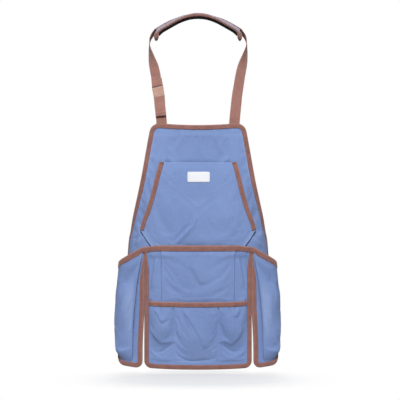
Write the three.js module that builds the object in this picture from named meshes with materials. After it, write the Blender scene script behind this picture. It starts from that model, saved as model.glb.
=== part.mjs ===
// Bib apron for garden work, hanging in its worn form.
// Millimetres, +Z up, +X to the right as seen from the front, +Y back towards the wearer.
// The origin is the point of the neck pad's underside that rests on the neck.
import * as THREE from "three";

// Cloth and tape
const canvas = 1.2;
const seam = 0.3;
const tape = 1.0;
const lap = 10;
const edgeRoom = 0.8;
const bindRoom = 0.85;

// Outline of the apron body
const bibTop = -284;
const bibDip = 4.5;
const bibCorner = 18;
const waistRow = -602;
const hemMiddle = -894;
const hemSide = -890;
const hemCorner = 16;
const centreEdge = 132.5;
const slitTop = 4.4;
const slitBottom = 9;
const flapBottom = -892;
const flapInnerCorner = 16;
const flapOuterCorner = 24;
const curl = 3;

// Heights of the body: half is the half width seen from the front, turn is how far
// the side edge turns back in degrees, mid is the y of the centre line.
const bodyStations = [
  { z: -284, half: 117, turn: 8, mid: -64 },
  { z: -342, half: 128, turn: 14, mid: -74 },
  { z: -422, half: 142, turn: 22, mid: -84 },
  { z: -477, half: 154, turn: 40, mid: -89 },
  { z: -517, half: 163, turn: 56, mid: -92 },
  { z: -550, half: 169, turn: 71, mid: -94 },
  { z: -574, half: 174, turn: 80, mid: -95 },
  { z: -606, half: 177, turn: 84, mid: -96 },
  { z: -700, half: 185, turn: 79, mid: -95 },
  { z: -800, half: 194, turn: 67, mid: -92 },
  { z: -895, half: 203, turn: 52, mid: -88 },
];

// Bib pocket: half width at each height, open between its top and its widest row
const bibPocketRows = [
  { z: -378, half: 95, lift: 0 },
  { z: -400, half: 101, lift: 3.2 },
  { z: -422, half: 107, lift: 5 },
  { z: -460, half: 116, lift: 6 },
  { z: -497, half: 130, lift: 6 },
  { z: -527, half: 143, lift: 5 },
  { z: -547, half: 149, lift: 3.4 },
  { z: -570, half: 131, lift: 1.4 },
  { z: -590, half: 114, lift: -0.8 },
  { z: -600, half: 106, lift: -1.4 },
];
const bibPocketLevel = 3;

// Centre pockets
const frontPocketTop = -587;
const frontPocketBow = 8.6;
const pleatAt = 90;
const pleatStep = 2;
const lowerPocketTop = -725;
const lowerPocketSag = 3;
const lowerLift = 2.4;
const lowerTapeEnd = 119.5;
const bags = [
  { from: -122, to: -58, depth: 17, sag: -812 },
  { from: -58, to: 52, depth: 13, sag: -838 },
  { from: 52, to: 122, depth: 17, sag: -812 },
];
const centreColumns = [
  -132.5, -128.5, -122, -108, -92, -88, -72, -58, -40, -15, 12, 34, 52, 70, 88, 92, 108, 122, 128.5, 132.5,
];
const bodyColumns = [-132.5, -128.5, -122, -90, -30, 30, 90, 122, 128.5, 132.5];
const flapColumns = [0, 0.07, 0.22, 0.5, 0.8, 0.94, 1];

// Side pockets: sections from the opening down. Each pair is the place across the flap
// (0 at the slit, 1 at the outer edge) and the height above the flap's cloth.
const sideSections = [
  { down: 0, margin: [0.15, 4.4], valley: [0.21, 6.5], fold: [0.25, 8.5], crest: [0.7, 31], back: [0.88, 22], foot: [0.95, 9] },
  { down: 0.07, margin: [0.15, 4.4], valley: [0.22, 6.5], fold: [0.26, 9], crest: [0.7, 32], back: [0.88, 22], foot: [0.95, 9] },
  { down: 0.14, margin: [0.16, 1.6], valley: [0.3, 3], fold: [0.26, 9.5], crest: [0.71, 33], back: [0.88, 22], foot: [0.82, 2] },
  { down: 0.35, margin: [0.16, 1.6], valley: [0.42, 2], fold: [0.32, 10], crest: [0.72, 34], back: [0.88, 21], foot: [0.82, 2] },
  { down: 0.7, margin: [0.16, 1.6], valley: [0.46, 2], fold: [0.35, 10], crest: [0.71, 31], back: [0.87, 19], foot: [0.82, 2] },
  { down: 0.88, margin: [0.16, 1.6], valley: [0.4, 2], fold: [0.36, 8], crest: [0.7, 26], back: [0.85, 14], foot: [0.82, 2] },
  { down: 0.925, margin: [0.16, 1.6], valley: [0.32, 2], fold: [0.38, 4.5], crest: [0.66, 13], back: [0.78, 6], foot: [0.82, 2] },
  { down: 0.95, margin: [0.16, 1.6], valley: [0.3, 1.8], fold: [0.4, 2], crest: [0.62, 2], back: [0.72, 2], foot: [0.82, 2] },
  { down: 1, margin: [0.16, 1.6], valley: [0.3, 1.8], fold: [0.4, 2], crest: [0.62, 2], back: [0.72, 2], foot: [0.82, 2] },
];
const sideTops = [-591, -594, -597, -599, -618, -636, -642, -646];

// Label on the bib pocket
const label = { x: 1.5, z: -414.5, wide: 56, tall: 26, corner: 4, thick: 0.8 };

// Neck pad: an arch whose ends turn their outer face to the front
const pad = { span: 104, rise: 41, bend: 57, half: 27, tilt: 8, twist: 19, level: 0.75, slant: 13 };
const padFoam = 7;
const padCrown = 3;
const padTape = { wide: 3, low: 6, high: 13 };

// Webbing, from the pad's end down to the bib. facing 0 shows the face to the front and
// 90 the edge; lean rolls the webbing about its own length; cut slants its end.
const webbing = { wide: 25.4, thick: 1.8 };
const strapStations = [
  { x: 113.2, y: -0.3, z: -37.5, facing: 90, lean: 37, cut: 0.42 },
  { x: 114.5, y: -0.5, z: -38.5, facing: 90, lean: 28, cut: 0.2 },
  { x: 121, y: -2, z: -48.5, facing: 90, lean: 12, cut: 0 },
  { x: 124.8, y: -6, z: -61.7, facing: 88, lean: 3, cut: 0 },
  { x: 125, y: -14, z: -81.7, facing: 80, lean: 0, cut: 0 },
  { x: 119.8, y: -23, z: -107.3, facing: 55, lean: 0, cut: 0 },
  { x: 112.5, y: -31, z: -133, facing: 30, lean: 0, cut: 0 },
  { x: 107.1, y: -38, z: -158.4, facing: 22, lean: 0, cut: 0 },
  { x: 103, y: -44, z: -183.5, facing: 17, lean: 0, cut: 0 },
  { x: 99, y: -49, z: -208.1, facing: 13, lean: 0, cut: 0 },
  { x: 96.3, y: -54, z: -233, facing: 7, lean: 0, cut: 0 },
  { x: 93.7, y: -58.5, z: -257.7, facing: 3, lean: 0, cut: 0 },
];

// Where the webbing is sewn to the back of the bib
const sewn = { s: 92, level: -3.6, heights: [-282, -300, -345, -376] };

// Slider on the left strap and the two webbing loops round its bars
const slider = { wide: 31, plate: 22, slot: 3.6, bar: 3.6, side: 2, thick: 2.6, height: -196 };
const loopRoom = 0.9;
const topLoop = 26;
const tailLength = 66;
const tailHem = 10;

const canvasBlue = new THREE.MeshStandardMaterial({ color: 0x7c93c4, roughness: 0.92 });
const tapeBrown = new THREE.MeshStandardMaterial({ color: 0x916a63, roughness: 0.95 });
const webbingBrown = new THREE.MeshStandardMaterial({ color: 0xa3776c, roughness: 0.9 });
const coverGrey = new THREE.MeshStandardMaterial({ color: 0x8fa3b8, roughness: 0.95 });
const foamBlack = new THREE.MeshStandardMaterial({ color: 0x141214, roughness: 0.98 });
const labelWhite = new THREE.MeshStandardMaterial({ color: 0xf0f0ee, roughness: 0.8 });
const sliderTan = new THREE.MeshStandardMaterial({ color: 0xc79f8e, roughness: 0.55 });

const apron = new THREE.Group();
apron.name = "bib_apron";

const mix = (a, b, t) => a + (b - a) * t;
const clamp = (t) => Math.min(1, Math.max(0, t));
const smooth = (t) => clamp(t) ** 2 * (3 - 2 * clamp(t));
const radians = (degrees) => (degrees * Math.PI) / 180;

// Smooth curve through the rows of a table: the value of one column where another has a given value
function along(table, by, value, read) {
  const last = table.length - 1;
  const rising = table[last][by] > table[0][by];
  let k = 0;
  while (k < last - 1 && (rising ? value > table[k + 1][by] : value < table[k + 1][by])) k += 1;
  const slope = (m) => {
    const before = table[Math.max(0, m - 1)];
    const after = table[Math.min(last, m + 1)];
    return (read(after) - read(before)) / (after[by] - before[by]);
  };
  const width = table[k + 1][by] - table[k][by];
  const t = clamp((value - table[k][by]) / width);
  const start = read(table[k]) * (1 + 2 * t) * (1 - t) ** 2 + read(table[k + 1]) * t * t * (3 - 2 * t);
  return start + width * (slope(k) * t * (1 - t) ** 2 - slope(k + 1) * t * t * (1 - t));
}

const station = (key, z) => along(bodyStations, "z", z, (row) => row[key]);

function flatHalf(z) {
  const turn = radians(station("turn", z));
  let shown = 0;
  for (let k = 0; k < 24; k += 1) shown += Math.cos(turn * ((k + 0.5) / 24) ** curl) / 24;
  return station("half", z) / shown;
}

const turnAt = (s, z) => radians(station("turn", z)) * (Math.abs(s) / flatHalf(z)) ** curl;

// Place on the hanging cloth: s across the flat cloth from its middle, z down, n out of its back face
function hang(s, z, n) {
  const half = flatHalf(z);
  const turn = radians(station("turn", z));
  const reach = Math.abs(s) / half;
  const steps = 16;
  let across = 0;
  let back = 0;
  for (let k = 0; k < steps; k += 1) {
    const angle = turn * (((k + 0.5) * reach) / steps) ** curl;
    across += (Math.cos(angle) * reach * half) / steps;
    back += (Math.sin(angle) * reach * half) / steps;
  }
  const angle = turnAt(s, z);
  const x = Math.sign(s) * (across + n * Math.sin(angle));
  return new THREE.Vector3(x, station("mid", z) + back - n * Math.cos(angle), z);
}

function solid(points, triangles) {
  let volume = 0;
  for (const [a, b, c] of triangles) volume += points[a].dot(points[b].clone().cross(points[c]));
  const index = volume < 0 ? triangles.map(([a, b, c]) => [a, c, b]) : triangles;
  const geometry = new THREE.BufferGeometry();
  geometry.setAttribute("position", new THREE.Float32BufferAttribute(points.flatMap((p) => [p.x, p.y, p.z]), 3));
  geometry.setIndex(index.flat());
  geometry.computeVertexNormals();
  return geometry;
}

// Closed cloth wall from a grid of front points and a grid of back points
function wall(front, back, keep = () => true) {
  const rows = front.length;
  const columns = front[0].length;
  const count = rows * columns;
  const faces = [];
  for (let i = 0; i < rows - 1; i += 1) {
    for (let j = 0; j < columns - 1; j += 1) {
      if (!keep(i, j)) continue;
      const a = i * columns + j;
      faces.push([a, a + columns, a + columns + 1], [a, a + columns + 1, a + 1]);
    }
  }
  const edges = new Map();
  for (const [a, b, c] of faces) {
    for (const [p, q] of [[a, b], [b, c], [c, a]]) edges.set(`${p} ${q}`, [p, q]);
  }
  const triangles = [...faces, ...faces.map(([a, b, c]) => [a + count, c + count, b + count])];
  for (const [p, q] of edges.values()) {
    if (edges.has(`${q} ${p}`)) continue;
    triangles.push([q, p, p + count], [q, p + count, q + count]);
  }
  const used = [...new Set(triangles.flat())];
  const place = new Map(used.map((old, k) => [old, k]));
  const points = [...front.flat(), ...back.flat()];
  return solid(used.map((k) => points[k]), triangles.map((face) => face.map((k) => place.get(k))));
}

// Solid swept through rings of points that all come from one flat outline
function sweep(rings, outline, closed = false) {
  const size = outline.length;
  const triangles = [];
  const turns = closed ? rings.length : rings.length - 1;
  for (let r = 0; r < turns; r += 1) {
    const here = r * size;
    const next = ((r + 1) % rings.length) * size;
    for (let k = 0; k < size; k += 1) {
      const m = (k + 1) % size;
      triangles.push([here + k, here + m, next + m], [here + k, next + m, next + k]);
    }
  }
  if (!closed) {
    const flat = outline.map(([a, b]) => new THREE.Vector2(a, b));
    const clockwise = THREE.ShapeUtils.isClockWise(flat);
    const last = (rings.length - 1) * size;
    for (const [a, b, c] of THREE.ShapeUtils.triangulateShape(flat, [])) {
      const area = (flat[b].x - flat[a].x) * (flat[c].y - flat[a].y) - (flat[b].y - flat[a].y) * (flat[c].x - flat[a].x);
      const [p, q] = area > 0 === !clockwise ? [b, c] : [c, b];
      triangles.push([last + a, last + p, last + q], [a, q, p]);
    }
  }
  return solid(rings.flat(), triangles);
}

function addPiece(name, geometry, material) {
  const mesh = new THREE.Mesh(geometry, material);
  mesh.name = name;
  apron.add(mesh);
}

// Binding tape folded over a cloth edge: a U round the layers between low and high,
// measured from the edge line along the cloth's front normal.
function binding(name, edge, inner, { low, high, width = () => lap }) {
  const rings = [];
  let outline;
  edge.forEach((point, k) => {
    const ahead = edge[Math.min(edge.length - 1, k + 1)];
    const behind = edge[Math.max(0, k - 1)];
    const inward = inner[k].clone().sub(point).normalize();
    const normal = ahead.clone().sub(behind).cross(inward).normalize();
    if (k > 0 ? normal.dot(rings.normal) < 0 : normal.y > 0) normal.negate();
    rings.normal = normal;
    const reach = width(k);
    const out = -edgeRoom - tape;
    const front = high + bindRoom;
    const rear = low - bindRoom;
    outline = [
      [reach, front + tape], [out + 0.4, front + tape], [out, front + tape - 0.4],
      [out, rear - tape], [reach, rear - tape], [reach, rear],
      [-edgeRoom, rear], [-edgeRoom, front], [reach, front],
    ];
    rings.push(outline.map(([e, n]) => point.clone().addScaledVector(inward, e).addScaledVector(normal, n)));
  });
  addPiece(name, sweep(rings, outline), tapeBrown);
}

// Apron body: bib and skirt in one grid, slit beside the centre panel
const waistHalf = flatHalf(waistRow);
const slitWidth = (z) => mix(slitTop, slitBottom, smooth((-720 - z) / 130));
const sideEdge = (z) => centreEdge + slitWidth(z);
const bibRows = [0, 0.03, 0.08, 0.15, 0.23, 0.32, 0.42, 0.52, 0.62, 0.72, 0.82, 0.91, 1];
const skirtRows = [0.008, 0.12, 0.25, 0.4, 0.55, 0.68, 0.8, 0.89, 0.95, 1];

function bibTopEdge(s) {
  const half = flatHalf(bibTop - bibCorner);
  const past = Math.max(0, Math.abs(s) - half + bibCorner);
  const round = bibCorner - Math.sqrt(Math.max(0, bibCorner ** 2 - past ** 2));
  return bibTop - bibDip * Math.max(0, 1 - (s / 92) ** 2) - round;
}

function centreBottom(s) {
  const past = Math.max(0, Math.abs(s) - centreEdge + hemCorner);
  const round = hemCorner - Math.sqrt(Math.max(0, hemCorner ** 2 - past ** 2));
  return mix(hemMiddle, hemSide, (s / centreEdge) ** 2) + round;
}

function flapBottomAt(share) {
  const from = sideEdge(flapBottom);
  const span = flatHalf(flapBottom) - from;
  const inner = Math.max(0, flapInnerCorner - share * span);
  const outer = Math.max(0, flapOuterCorner - (1 - share) * span);
  const innerRound = flapInnerCorner - Math.sqrt(flapInnerCorner ** 2 - inner ** 2);
  const outerRound = flapOuterCorner - Math.sqrt(Math.max(0, flapOuterCorner ** 2 - outer ** 2));
  return flapBottom + 5 * share + innerRound + outerRound;
}

const flapPlace = (share, z) => mix(sideEdge(z), flatHalf(z), share);

// Columns from left to right: left flap, centre, right flap
const columnList = [
  ...flapColumns.map((share) => ({ side: -1, share })).reverse(),
  ...bodyColumns.map((s) => ({ side: 0, s })),
  ...flapColumns.map((share) => ({ side: 1, share })),
];

function bodyFlat(row, column) {
  const atWaist = column.side ? column.side * flapPlace(column.share, waistRow) : column.s;
  if (row <= 1) {
    const top = bibTopEdge((atWaist / waistHalf) * flatHalf(bibTop - bibCorner));
    const z = mix(top, waistRow, row);
    return [(atWaist / waistHalf) * flatHalf(z), z];
  }
  const bottom = column.side ? flapBottomAt(column.share) : centreBottom(column.s);
  const z = mix(waistRow, bottom, row - 1);
  return [column.side ? column.side * flapPlace(column.share, z) : column.s, z];
}

const rowList = [...bibRows, ...skirtRows.map((row) => row + 1)];
const bodyGrid = rowList.map((row) => columnList.map((column) => bodyFlat(row, column)));
const slitColumns = [flapColumns.length - 1, flapColumns.length + bodyColumns.length - 1];
addPiece("apron_body", wall(
  bodyGrid.map((line) => line.map(([s, z]) => hang(s, z, canvas))),
  bodyGrid.map((line) => line.map(([s, z]) => hang(s, z, 0))),
  (i, j) => !(slitColumns.includes(j) && i >= bibRows.length),
), canvasBlue);

// Edge line on the hanging cloth and the line that lies one lap inside it
function hangEdge(flat, inward, level, reach = lap) {
  const edge = flat.map(([s, z]) => hang(s, z, level));
  const inner = flat.map(([s, z], k) => hang(s + inward[k][0] * reach, z + inward[k][1] * reach, level));
  return [edge, inner];
}

// Unit directions into the cloth, square to a line in the flat; turn is 1 where the cloth is to its right
function inwardOf(flat, turn) {
  return flat.map((point, k) => {
    const ahead = flat[Math.min(flat.length - 1, k + 1)];
    const behind = flat[Math.max(0, k - 1)];
    const run = [ahead[0] - behind[0], ahead[1] - behind[1]];
    const length = Math.hypot(...run);
    return [(turn * run[1]) / length, (-turn * run[0]) / length];
  });
}

// Binding round the bib, up the left side, across the top and down the right side
const lastColumn = columnList.length - 1;
const bibSideRows = bibRows.length - 1;
const belowWaist = (side) => [-620, -641].map((z) => [side * flatHalf(z), z]);
const bibOutline = [
  ...belowWaist(-1).reverse(),
  ...bodyGrid.slice(1, bibSideRows + 1).reverse().map((line) => line[0]),
  ...bodyGrid[0],
  ...bodyGrid.slice(1, bibSideRows + 1).map((line) => line[lastColumn]),
  ...belowWaist(1),
];
const [bibEdge, bibInner] = hangEdge(bibOutline, inwardOf(bibOutline, 1), 0);
binding("bib_binding", bibEdge, bibInner, { low: 0, high: canvas });

// Bib pocket, sewn along its top and foot and open at its slanted sides
const bibPocketShares = [-1, -0.93, -0.8, -0.6, -0.38, -0.15, 0.15, 0.38, 0.6, 0.8, 0.93, 1];
const bibPocketRow = (z) => along(bibPocketRows, "z", z, (row) => row.lift);

function bibPocketLevelAt(s, z) {
  const row = bibPocketRow(z);
  return bibPocketLevel + row * (1 - 0.25 * (s / 150) ** 2) + 0.6 * Math.max(0, row) * Math.exp(-((s / 40) ** 2));
}

const bibPocketGrid = bibPocketRows.map((row) => bibPocketShares.map((share) => [share * row.half, row.z]));
addPiece("bib_pocket", wall(
  bibPocketGrid.map((line) => line.map(([s, z]) => hang(s, z, bibPocketLevelAt(s, z) + canvas))),
  bibPocketGrid.map((line) => line.map(([s, z]) => hang(s, z, bibPocketLevelAt(s, z)))),
), canvasBlue);

for (const side of [-1, 1]) {
  const rows = bibPocketRows.slice(0, 7);
  const flat = rows.map((row) => [side * row.half, row.z]);
  const inward = inwardOf(flat, side);
  const place = ([s, z]) => hang(s, z, bibPocketLevelAt(s, z));
  const edge = flat.map(place);
  const inner = flat.map(([s, z], k) => place([s + inward[k][0] * lap, z + inward[k][1] * lap]));
  binding(`bib_pocket_binding_${side < 0 ? "left" : "right"}`, edge, inner, { low: 0, high: canvas });
}

// Plain label on the bib pocket
const labelShares = [-1, -0.9, -0.4, 0.4, 0.9, 1];
const labelGrid = [-1, -0.72, 0, 0.72, 1].map((down) => labelShares.map((share) => {
  const cornerCut = Math.abs(down) === 1 && Math.abs(share) === 1 ? label.corner * 0.3 : 0;
  const s = label.x + share * (label.wide / 2) - Math.sign(share) * cornerCut;
  return [s, label.z - down * (label.tall / 2) + Math.sign(down) * cornerCut];
}));
const labelPlace = (lift) => ([s, z]) => hang(s, z, bibPocketLevelAt(s, z) + canvas + lift);
addPiece("label", wall(
  labelGrid.map((line) => line.map(labelPlace(seam + label.thick))),
  labelGrid.map((line) => line.map(labelPlace(seam))),
), labelWhite);

// Front pocket: bowed out along its top, pleated, sewn into the slit and hem bindings
const frontTopEdge = (s) => frontPocketTop - 4 * smooth((Math.abs(s) - 96) / 36);
const frontRows = [0, 0.045, 0.12, 0.25, 0.4, 0.55, 0.7, 0.83, 0.92, 0.965, 1];

function frontLevel(s, z) {
  const down = clamp((frontPocketTop - z) / (frontPocketTop - hemMiddle + lap));
  const reach = mix(centreEdge, centreEdge - lap - 1, smooth((-587 - z) / 17));
  const across = Math.max(0, 1 - (s / reach) ** 2) ** 0.6;
  const rest = 1.5 + 1.9 * smooth((z + 620) / 14);
  const pleat = pleatStep * smooth((pleatAt + 2 - Math.abs(s)) / 4) * (1 - smooth((down - 0.35) / 0.5));
  return rest + (frontPocketBow * across + pleat) * (1 - down) ** 1.1;
}

const frontGrid = frontRows.map((row) => centreColumns.map((s) => [s, mix(frontTopEdge(s), centreBottom(s), row)]));
addPiece("front_pocket", wall(
  frontGrid.map((line) => line.map(([s, z]) => hang(s, z, frontLevel(s, z) + canvas))),
  frontGrid.map((line) => line.map(([s, z]) => hang(s, z, frontLevel(s, z)))),
), canvasBlue);

// Lower pocket: three bags in front of it
const lowerTopEdge = (s) => lowerPocketTop - lowerPocketSag * (1 - (s / centreEdge) ** 2);
const lowerRows = [0, 0.07, 0.16, 0.28, 0.4, 0.52, 0.64, 0.76, 0.87, 0.94, 1];

function lowerLevel(s, z) {
  const bag = bags.find((one) => s >= one.from && s <= one.to);
  const margin = smooth((centreEdge - lap - 0.2 - Math.abs(s)) / 2.6);
  const lifted = lowerLift * margin * smooth((z - lowerPocketTop + 60) / 40);
  if (!bag) return frontLevel(s, z) + canvas + seam + lifted;
  const across = Math.sin((Math.PI * (s - bag.from)) / (bag.to - bag.from)) ** 0.8;
  const open = 0.55 + 0.45 * smooth((lowerPocketTop - z) / 60);
  const foot = 1 - smooth((bag.sag + 20 - z) / 52);
  return frontLevel(s, z) + canvas + seam + lifted + bag.depth * across * open * foot;
}

const lowerColumns = [...centreColumns, -lowerTapeEnd, lowerTapeEnd].sort((a, b) => a - b);
const lowerGrid = lowerRows.map((row) => lowerColumns.map((s) => [s, mix(lowerTopEdge(s), centreBottom(s), row)]));
addPiece("lower_pocket", wall(
  lowerGrid.map((line) => line.map(([s, z]) => hang(s, z, lowerLevel(s, z) + canvas))),
  lowerGrid.map((line) => line.map(([s, z]) => hang(s, z, lowerLevel(s, z)))),
), canvasBlue);

const lowerBound = lowerColumns.filter((s) => Math.abs(s) <= lowerTapeEnd).map((s) => [s, lowerTopEdge(s)]);
const lowerPlace = ([s, z]) => hang(s, z, lowerLevel(s, z));
binding(
  "lower_pocket_binding",
  lowerBound.map(lowerPlace),
  lowerBound.map(([s, z]) => lowerPlace([s, z - lap])),
  { low: 0, high: canvas },
);

// Binding down both slits and along the hem of the centre panel
const slitRows = frontRows.slice(2);
const slitLine = (side) => slitRows.map((row) => [side * centreEdge, mix(frontTopEdge(centreEdge), centreBottom(centreEdge), row)]);
const slitStart = (side) => [side * centreEdge, -606];
const centreOutline = [
  slitStart(-1),
  ...slitLine(-1).slice(0, -1),
  ...centreColumns.map((s) => [s, centreBottom(s)]),
  ...slitLine(1).slice(0, -1).reverse(),
  slitStart(1),
];
const [centreLine, centreInner] = hangEdge(centreOutline, inwardOf(centreOutline, -1), 0);
binding("centre_binding", centreLine, centreInner, { low: 0, high: 3 * canvas + 2 * seam });

// Side pockets: a seam margin, a pleat folded over itself, a full face and an outer seam
const sideKeys = ["margin", "valley", "fold", "crest", "back", "foot"];
const sideSteps = [0, 1, 1.5, 2, 2.5, 3, 3.33, 3.67, 4, 4.4, 5, 5.5, 6, 6.5, 7];
const sideRows = [0, 0.07, 0.14, 0.24, 0.35, 0.52, 0.7, 0.8, 0.88, 0.925, 0.95, 1];

function sideSection(down) {
  const rest = (low) => mix(3.4, low, smooth((down - 0.07) / 0.07));
  const read = (key, part) => along(sideSections, "down", down, (row) => row[key][part]);
  const inner = sideKeys.map((key) => ({ share: read(key, 0), rise: read(key, 1) }));
  return [{ share: 0, rise: rest(1.6) }, ...inner, { share: 0.995, rise: rest(2) }].map((row, step) => ({ ...row, step }));
}

function sidePlace(side, down, step) {
  const section = sideSection(down);
  const share = along(section, "step", step, (row) => row.share);
  const rise = along(section, "step", step, (row) => row.rise);
  const tops = sideTops.map((z, k) => ({ step: k, z }));
  const z = mix(along(tops, "step", step, (row) => row.z), flapBottomAt(clamp(share)), down);
  return hang(side * flapPlace(share, z), z, Math.max(1.5, rise) + canvas / 2);
}

function sideWall(side) {
  const middle = sideRows.map((down) => sideSteps.map((step) => sidePlace(side, down, step)));
  const normals = middle.map((line, i) => line.map((point, j) => {
    const across = line[Math.min(line.length - 1, j + 1)].clone().sub(line[Math.max(0, j - 1)]);
    const down = middle[Math.min(middle.length - 1, i + 1)][j].clone().sub(middle[Math.max(0, i - 1)][j]);
    return down.cross(across).normalize().multiplyScalar(side * canvas * 0.5);
  }));
  const offset = (sign) => middle.map((line, i) => line.map((p, j) => p.clone().addScaledVector(normals[i][j], sign)));
  const front = offset(1);
  const back = offset(-1);
  return wall(front, back);
}

for (const side of [-1, 1]) {
  const name = side < 0 ? "left" : "right";
  addPiece(`side_pocket_${name}`, sideWall(side), canvasBlue);
  const outer = [-680, -705, -740, -790, -830, -852].map((z) => [side * flatHalf(z), z]);
  const shares = [1, 0.97, 0.9, 0.8, 0.65, 0.5, 0.35, 0.2, 0.1, 0.04, 0];
  const foot = shares.map((share) => {
    const z = flapBottomAt(share);
    return [side * flapPlace(share, z), z];
  });
  const inner = [-850, -820, -780, -740, -700, -660, -636].map((z) => [side * sideEdge(z), z]);
  const flat = [...outer, ...foot, ...inner];
  const [edge, inside] = hangEdge(flat, inwardOf(flat, side), 0);
  const emerging = (k) => (k >= flat.length - 3 ? mix(4, lap, (flat.length - 1 - k) / 3) : lap);
  binding(`side_binding_${name}`, edge, inside, { low: 0, high: 2 * canvas + seam + 0.5, width: emerging });
}

// Waist binding over the tops of the side pockets and the front pocket
const waistSide = (side, down) => sideSteps.map((step) => sidePlace(side, down, step));
const waistFront = (row) => centreColumns.map((s) => {
  const z = frontTopEdge(s) - row;
  return hang(s, z, frontLevel(s, z) + canvas / 2);
});
const waistLine = [...waistSide(-1, 0).reverse(), ...waistFront(0), ...waistSide(1, 0)];
const waistInner = [...waistSide(-1, 0.07).reverse(), ...waistFront(lap), ...waistSide(1, 0.07)];
binding("waist_binding", waistLine, waistInner, { low: -canvas / 2, high: canvas / 2, width: () => 12.5 });

// Neck pad
function padPlace(along01, w, n) {
  const x = along01 * (pad.span - (pad.slant * w) / pad.half);
  const root = Math.sqrt(1 + (x / pad.bend) ** 2);
  const fall = (pad.rise * x) / (pad.bend ** 2 * root);
  const tangent = new THREE.Vector3(1, 0, -fall).normalize();
  const up = new THREE.Vector3(-tangent.z, 0, tangent.x);
  const roll = radians(pad.tilt + pad.twist * smooth(Math.abs(along01) / pad.level));
  const across = new THREE.Vector3(0, Math.cos(roll), 0).addScaledVector(up, Math.sin(roll));
  const normal = up.clone().multiplyScalar(Math.cos(roll)).add(new THREE.Vector3(0, -Math.sin(roll), 0));
  return new THREE.Vector3(x, 0, -pad.rise * (root - 1)).addScaledVector(across, w).addScaledVector(normal, n);
}

const padSteps = [-1, -0.9, -0.75, -0.6, -0.45, -0.3, -0.15, 0, 0.15, 0.3, 0.45, 0.6, 0.75, 0.9, 1];
const padRings = (outline, steps = padSteps) => steps.map((t) => outline.map(([w, n]) => padPlace(t, w, n)));
const crown = (w) => padFoam + padCrown * (1 - (w / pad.half) ** 2);
const crownSteps = [-1, -0.75, -0.4, 0, 0.4, 0.75, 1];
const foamOutline = [
  [pad.half - 2, 0], [pad.half, 2], ...crownSteps.map((k) => [-k * pad.half, crown(k * pad.half)]),
  [-pad.half, 2], [2 - pad.half, 0],
];
addPiece("neck_pad_foam", sweep(padRings(foamOutline), foamOutline), foamBlack);
const coverHalf = pad.half - seam;
const coverOutline = [
  ...crownSteps.map((k) => [-k * coverHalf, crown(k * coverHalf) + seam]),
  ...crownSteps.map((k) => [k * coverHalf, crown(k * coverHalf) + 3.4 + 1.2 * (1 - k * k)]),
];
addPiece("neck_pad_cover", sweep(padRings(coverOutline), coverOutline), coverGrey);

// Tape round the pad's rim
function padRim() {
  const rim = [];
  const front = padSteps.map((t) => [t, -1]);
  const right = [[1, -0.5], [1, 0], [1, 0.5]];
  const rear = [...padSteps].reverse().map((t) => [t, 1]);
  const left = [[-1, 0.5], [-1, 0], [-1, -0.5]];
  const outline = [[seam, padTape.low], [padTape.wide, padTape.low + 1], [padTape.wide, padTape.high - 1], [seam, padTape.high]];
  const scale = 1 / pad.span;
  for (const [t, w] of [...front, ...right, ...rear, ...left]) {
    const atEnd = Math.abs(t) === 1;
    const atSide = Math.abs(w) === 1;
    rim.push(outline.map(([out, n]) => {
      const reach = t + (atEnd ? Math.sign(t) * out * scale : 0);
      return padPlace(reach, w * pad.half + (atSide ? Math.sign(w) * out : 0), n);
    }));
  }
  return sweep(rim, outline, true);
}
addPiece("neck_pad_binding", padRim(), tapeBrown);

// Webbing along a line of stations and down the back of the bib, mirrored for the left side
function strapFrames(side) {
  const behind = sewn.heights.map((z) => {
    const { x, y } = hang(sewn.s, z, sewn.level);
    return { x, y, z, facing: (turnAt(sewn.s, z) * 180) / Math.PI, lean: 0, cut: 0 };
  });
  const rows = [...strapStations, ...behind];
  const curve = new THREE.CatmullRomCurve3(rows.map(({ x, y, z }) => new THREE.Vector3(side * x, y, z)));
  const table = rows.map((row, k) => ({ ...row, at: k / (rows.length - 1) }));
  return (t) => {
    const run = curve.getTangent(t);
    const facing = radians(along(table, "at", t, (row) => row.facing));
    const width = new THREE.Vector3(Math.cos(facing), side * Math.sin(facing), 0);
    width.addScaledVector(run, -width.dot(run)).normalize();
    width.applyAxisAngle(run, radians(along(table, "at", t, (row) => row.lean)) * -side);
    const normal = run.clone().cross(width).normalize();
    return { point: curve.getPoint(t), run, width, normal, cut: along(table, "at", t, (row) => row.cut) };
  };
}

const webOutline = [
  [-webbing.wide / 2, -webbing.thick / 2], [webbing.wide / 2, -webbing.thick / 2],
  [webbing.wide / 2, webbing.thick / 2], [-webbing.wide / 2, webbing.thick / 2],
];

function webRing(frame, side, lift = 0, fall = 0, tilt = 0, thick = 1) {
  const slope = frame.normal.clone().multiplyScalar(Math.cos(tilt)).addScaledVector(frame.run, Math.sin(tilt));
  return webOutline.map(([w, n]) => frame.point.clone()
    .addScaledVector(frame.width, w)
    .addScaledVector(frame.run, fall + frame.cut * w * side)
    .addScaledVector(frame.normal, lift)
    .addScaledVector(slope, n * thick));
}

const strapSteps = (from, to, count) => Array.from({ length: count + 1 }, (_, k) => mix(from, to, k / count));
const rightFrames = strapFrames(1);
const rightRings = strapSteps(0, 1, 31).map((t) => webRing(rightFrames(t), 1));
addPiece("neck_strap_right", sweep(rightRings, webOutline), webbingBrown);

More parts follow.
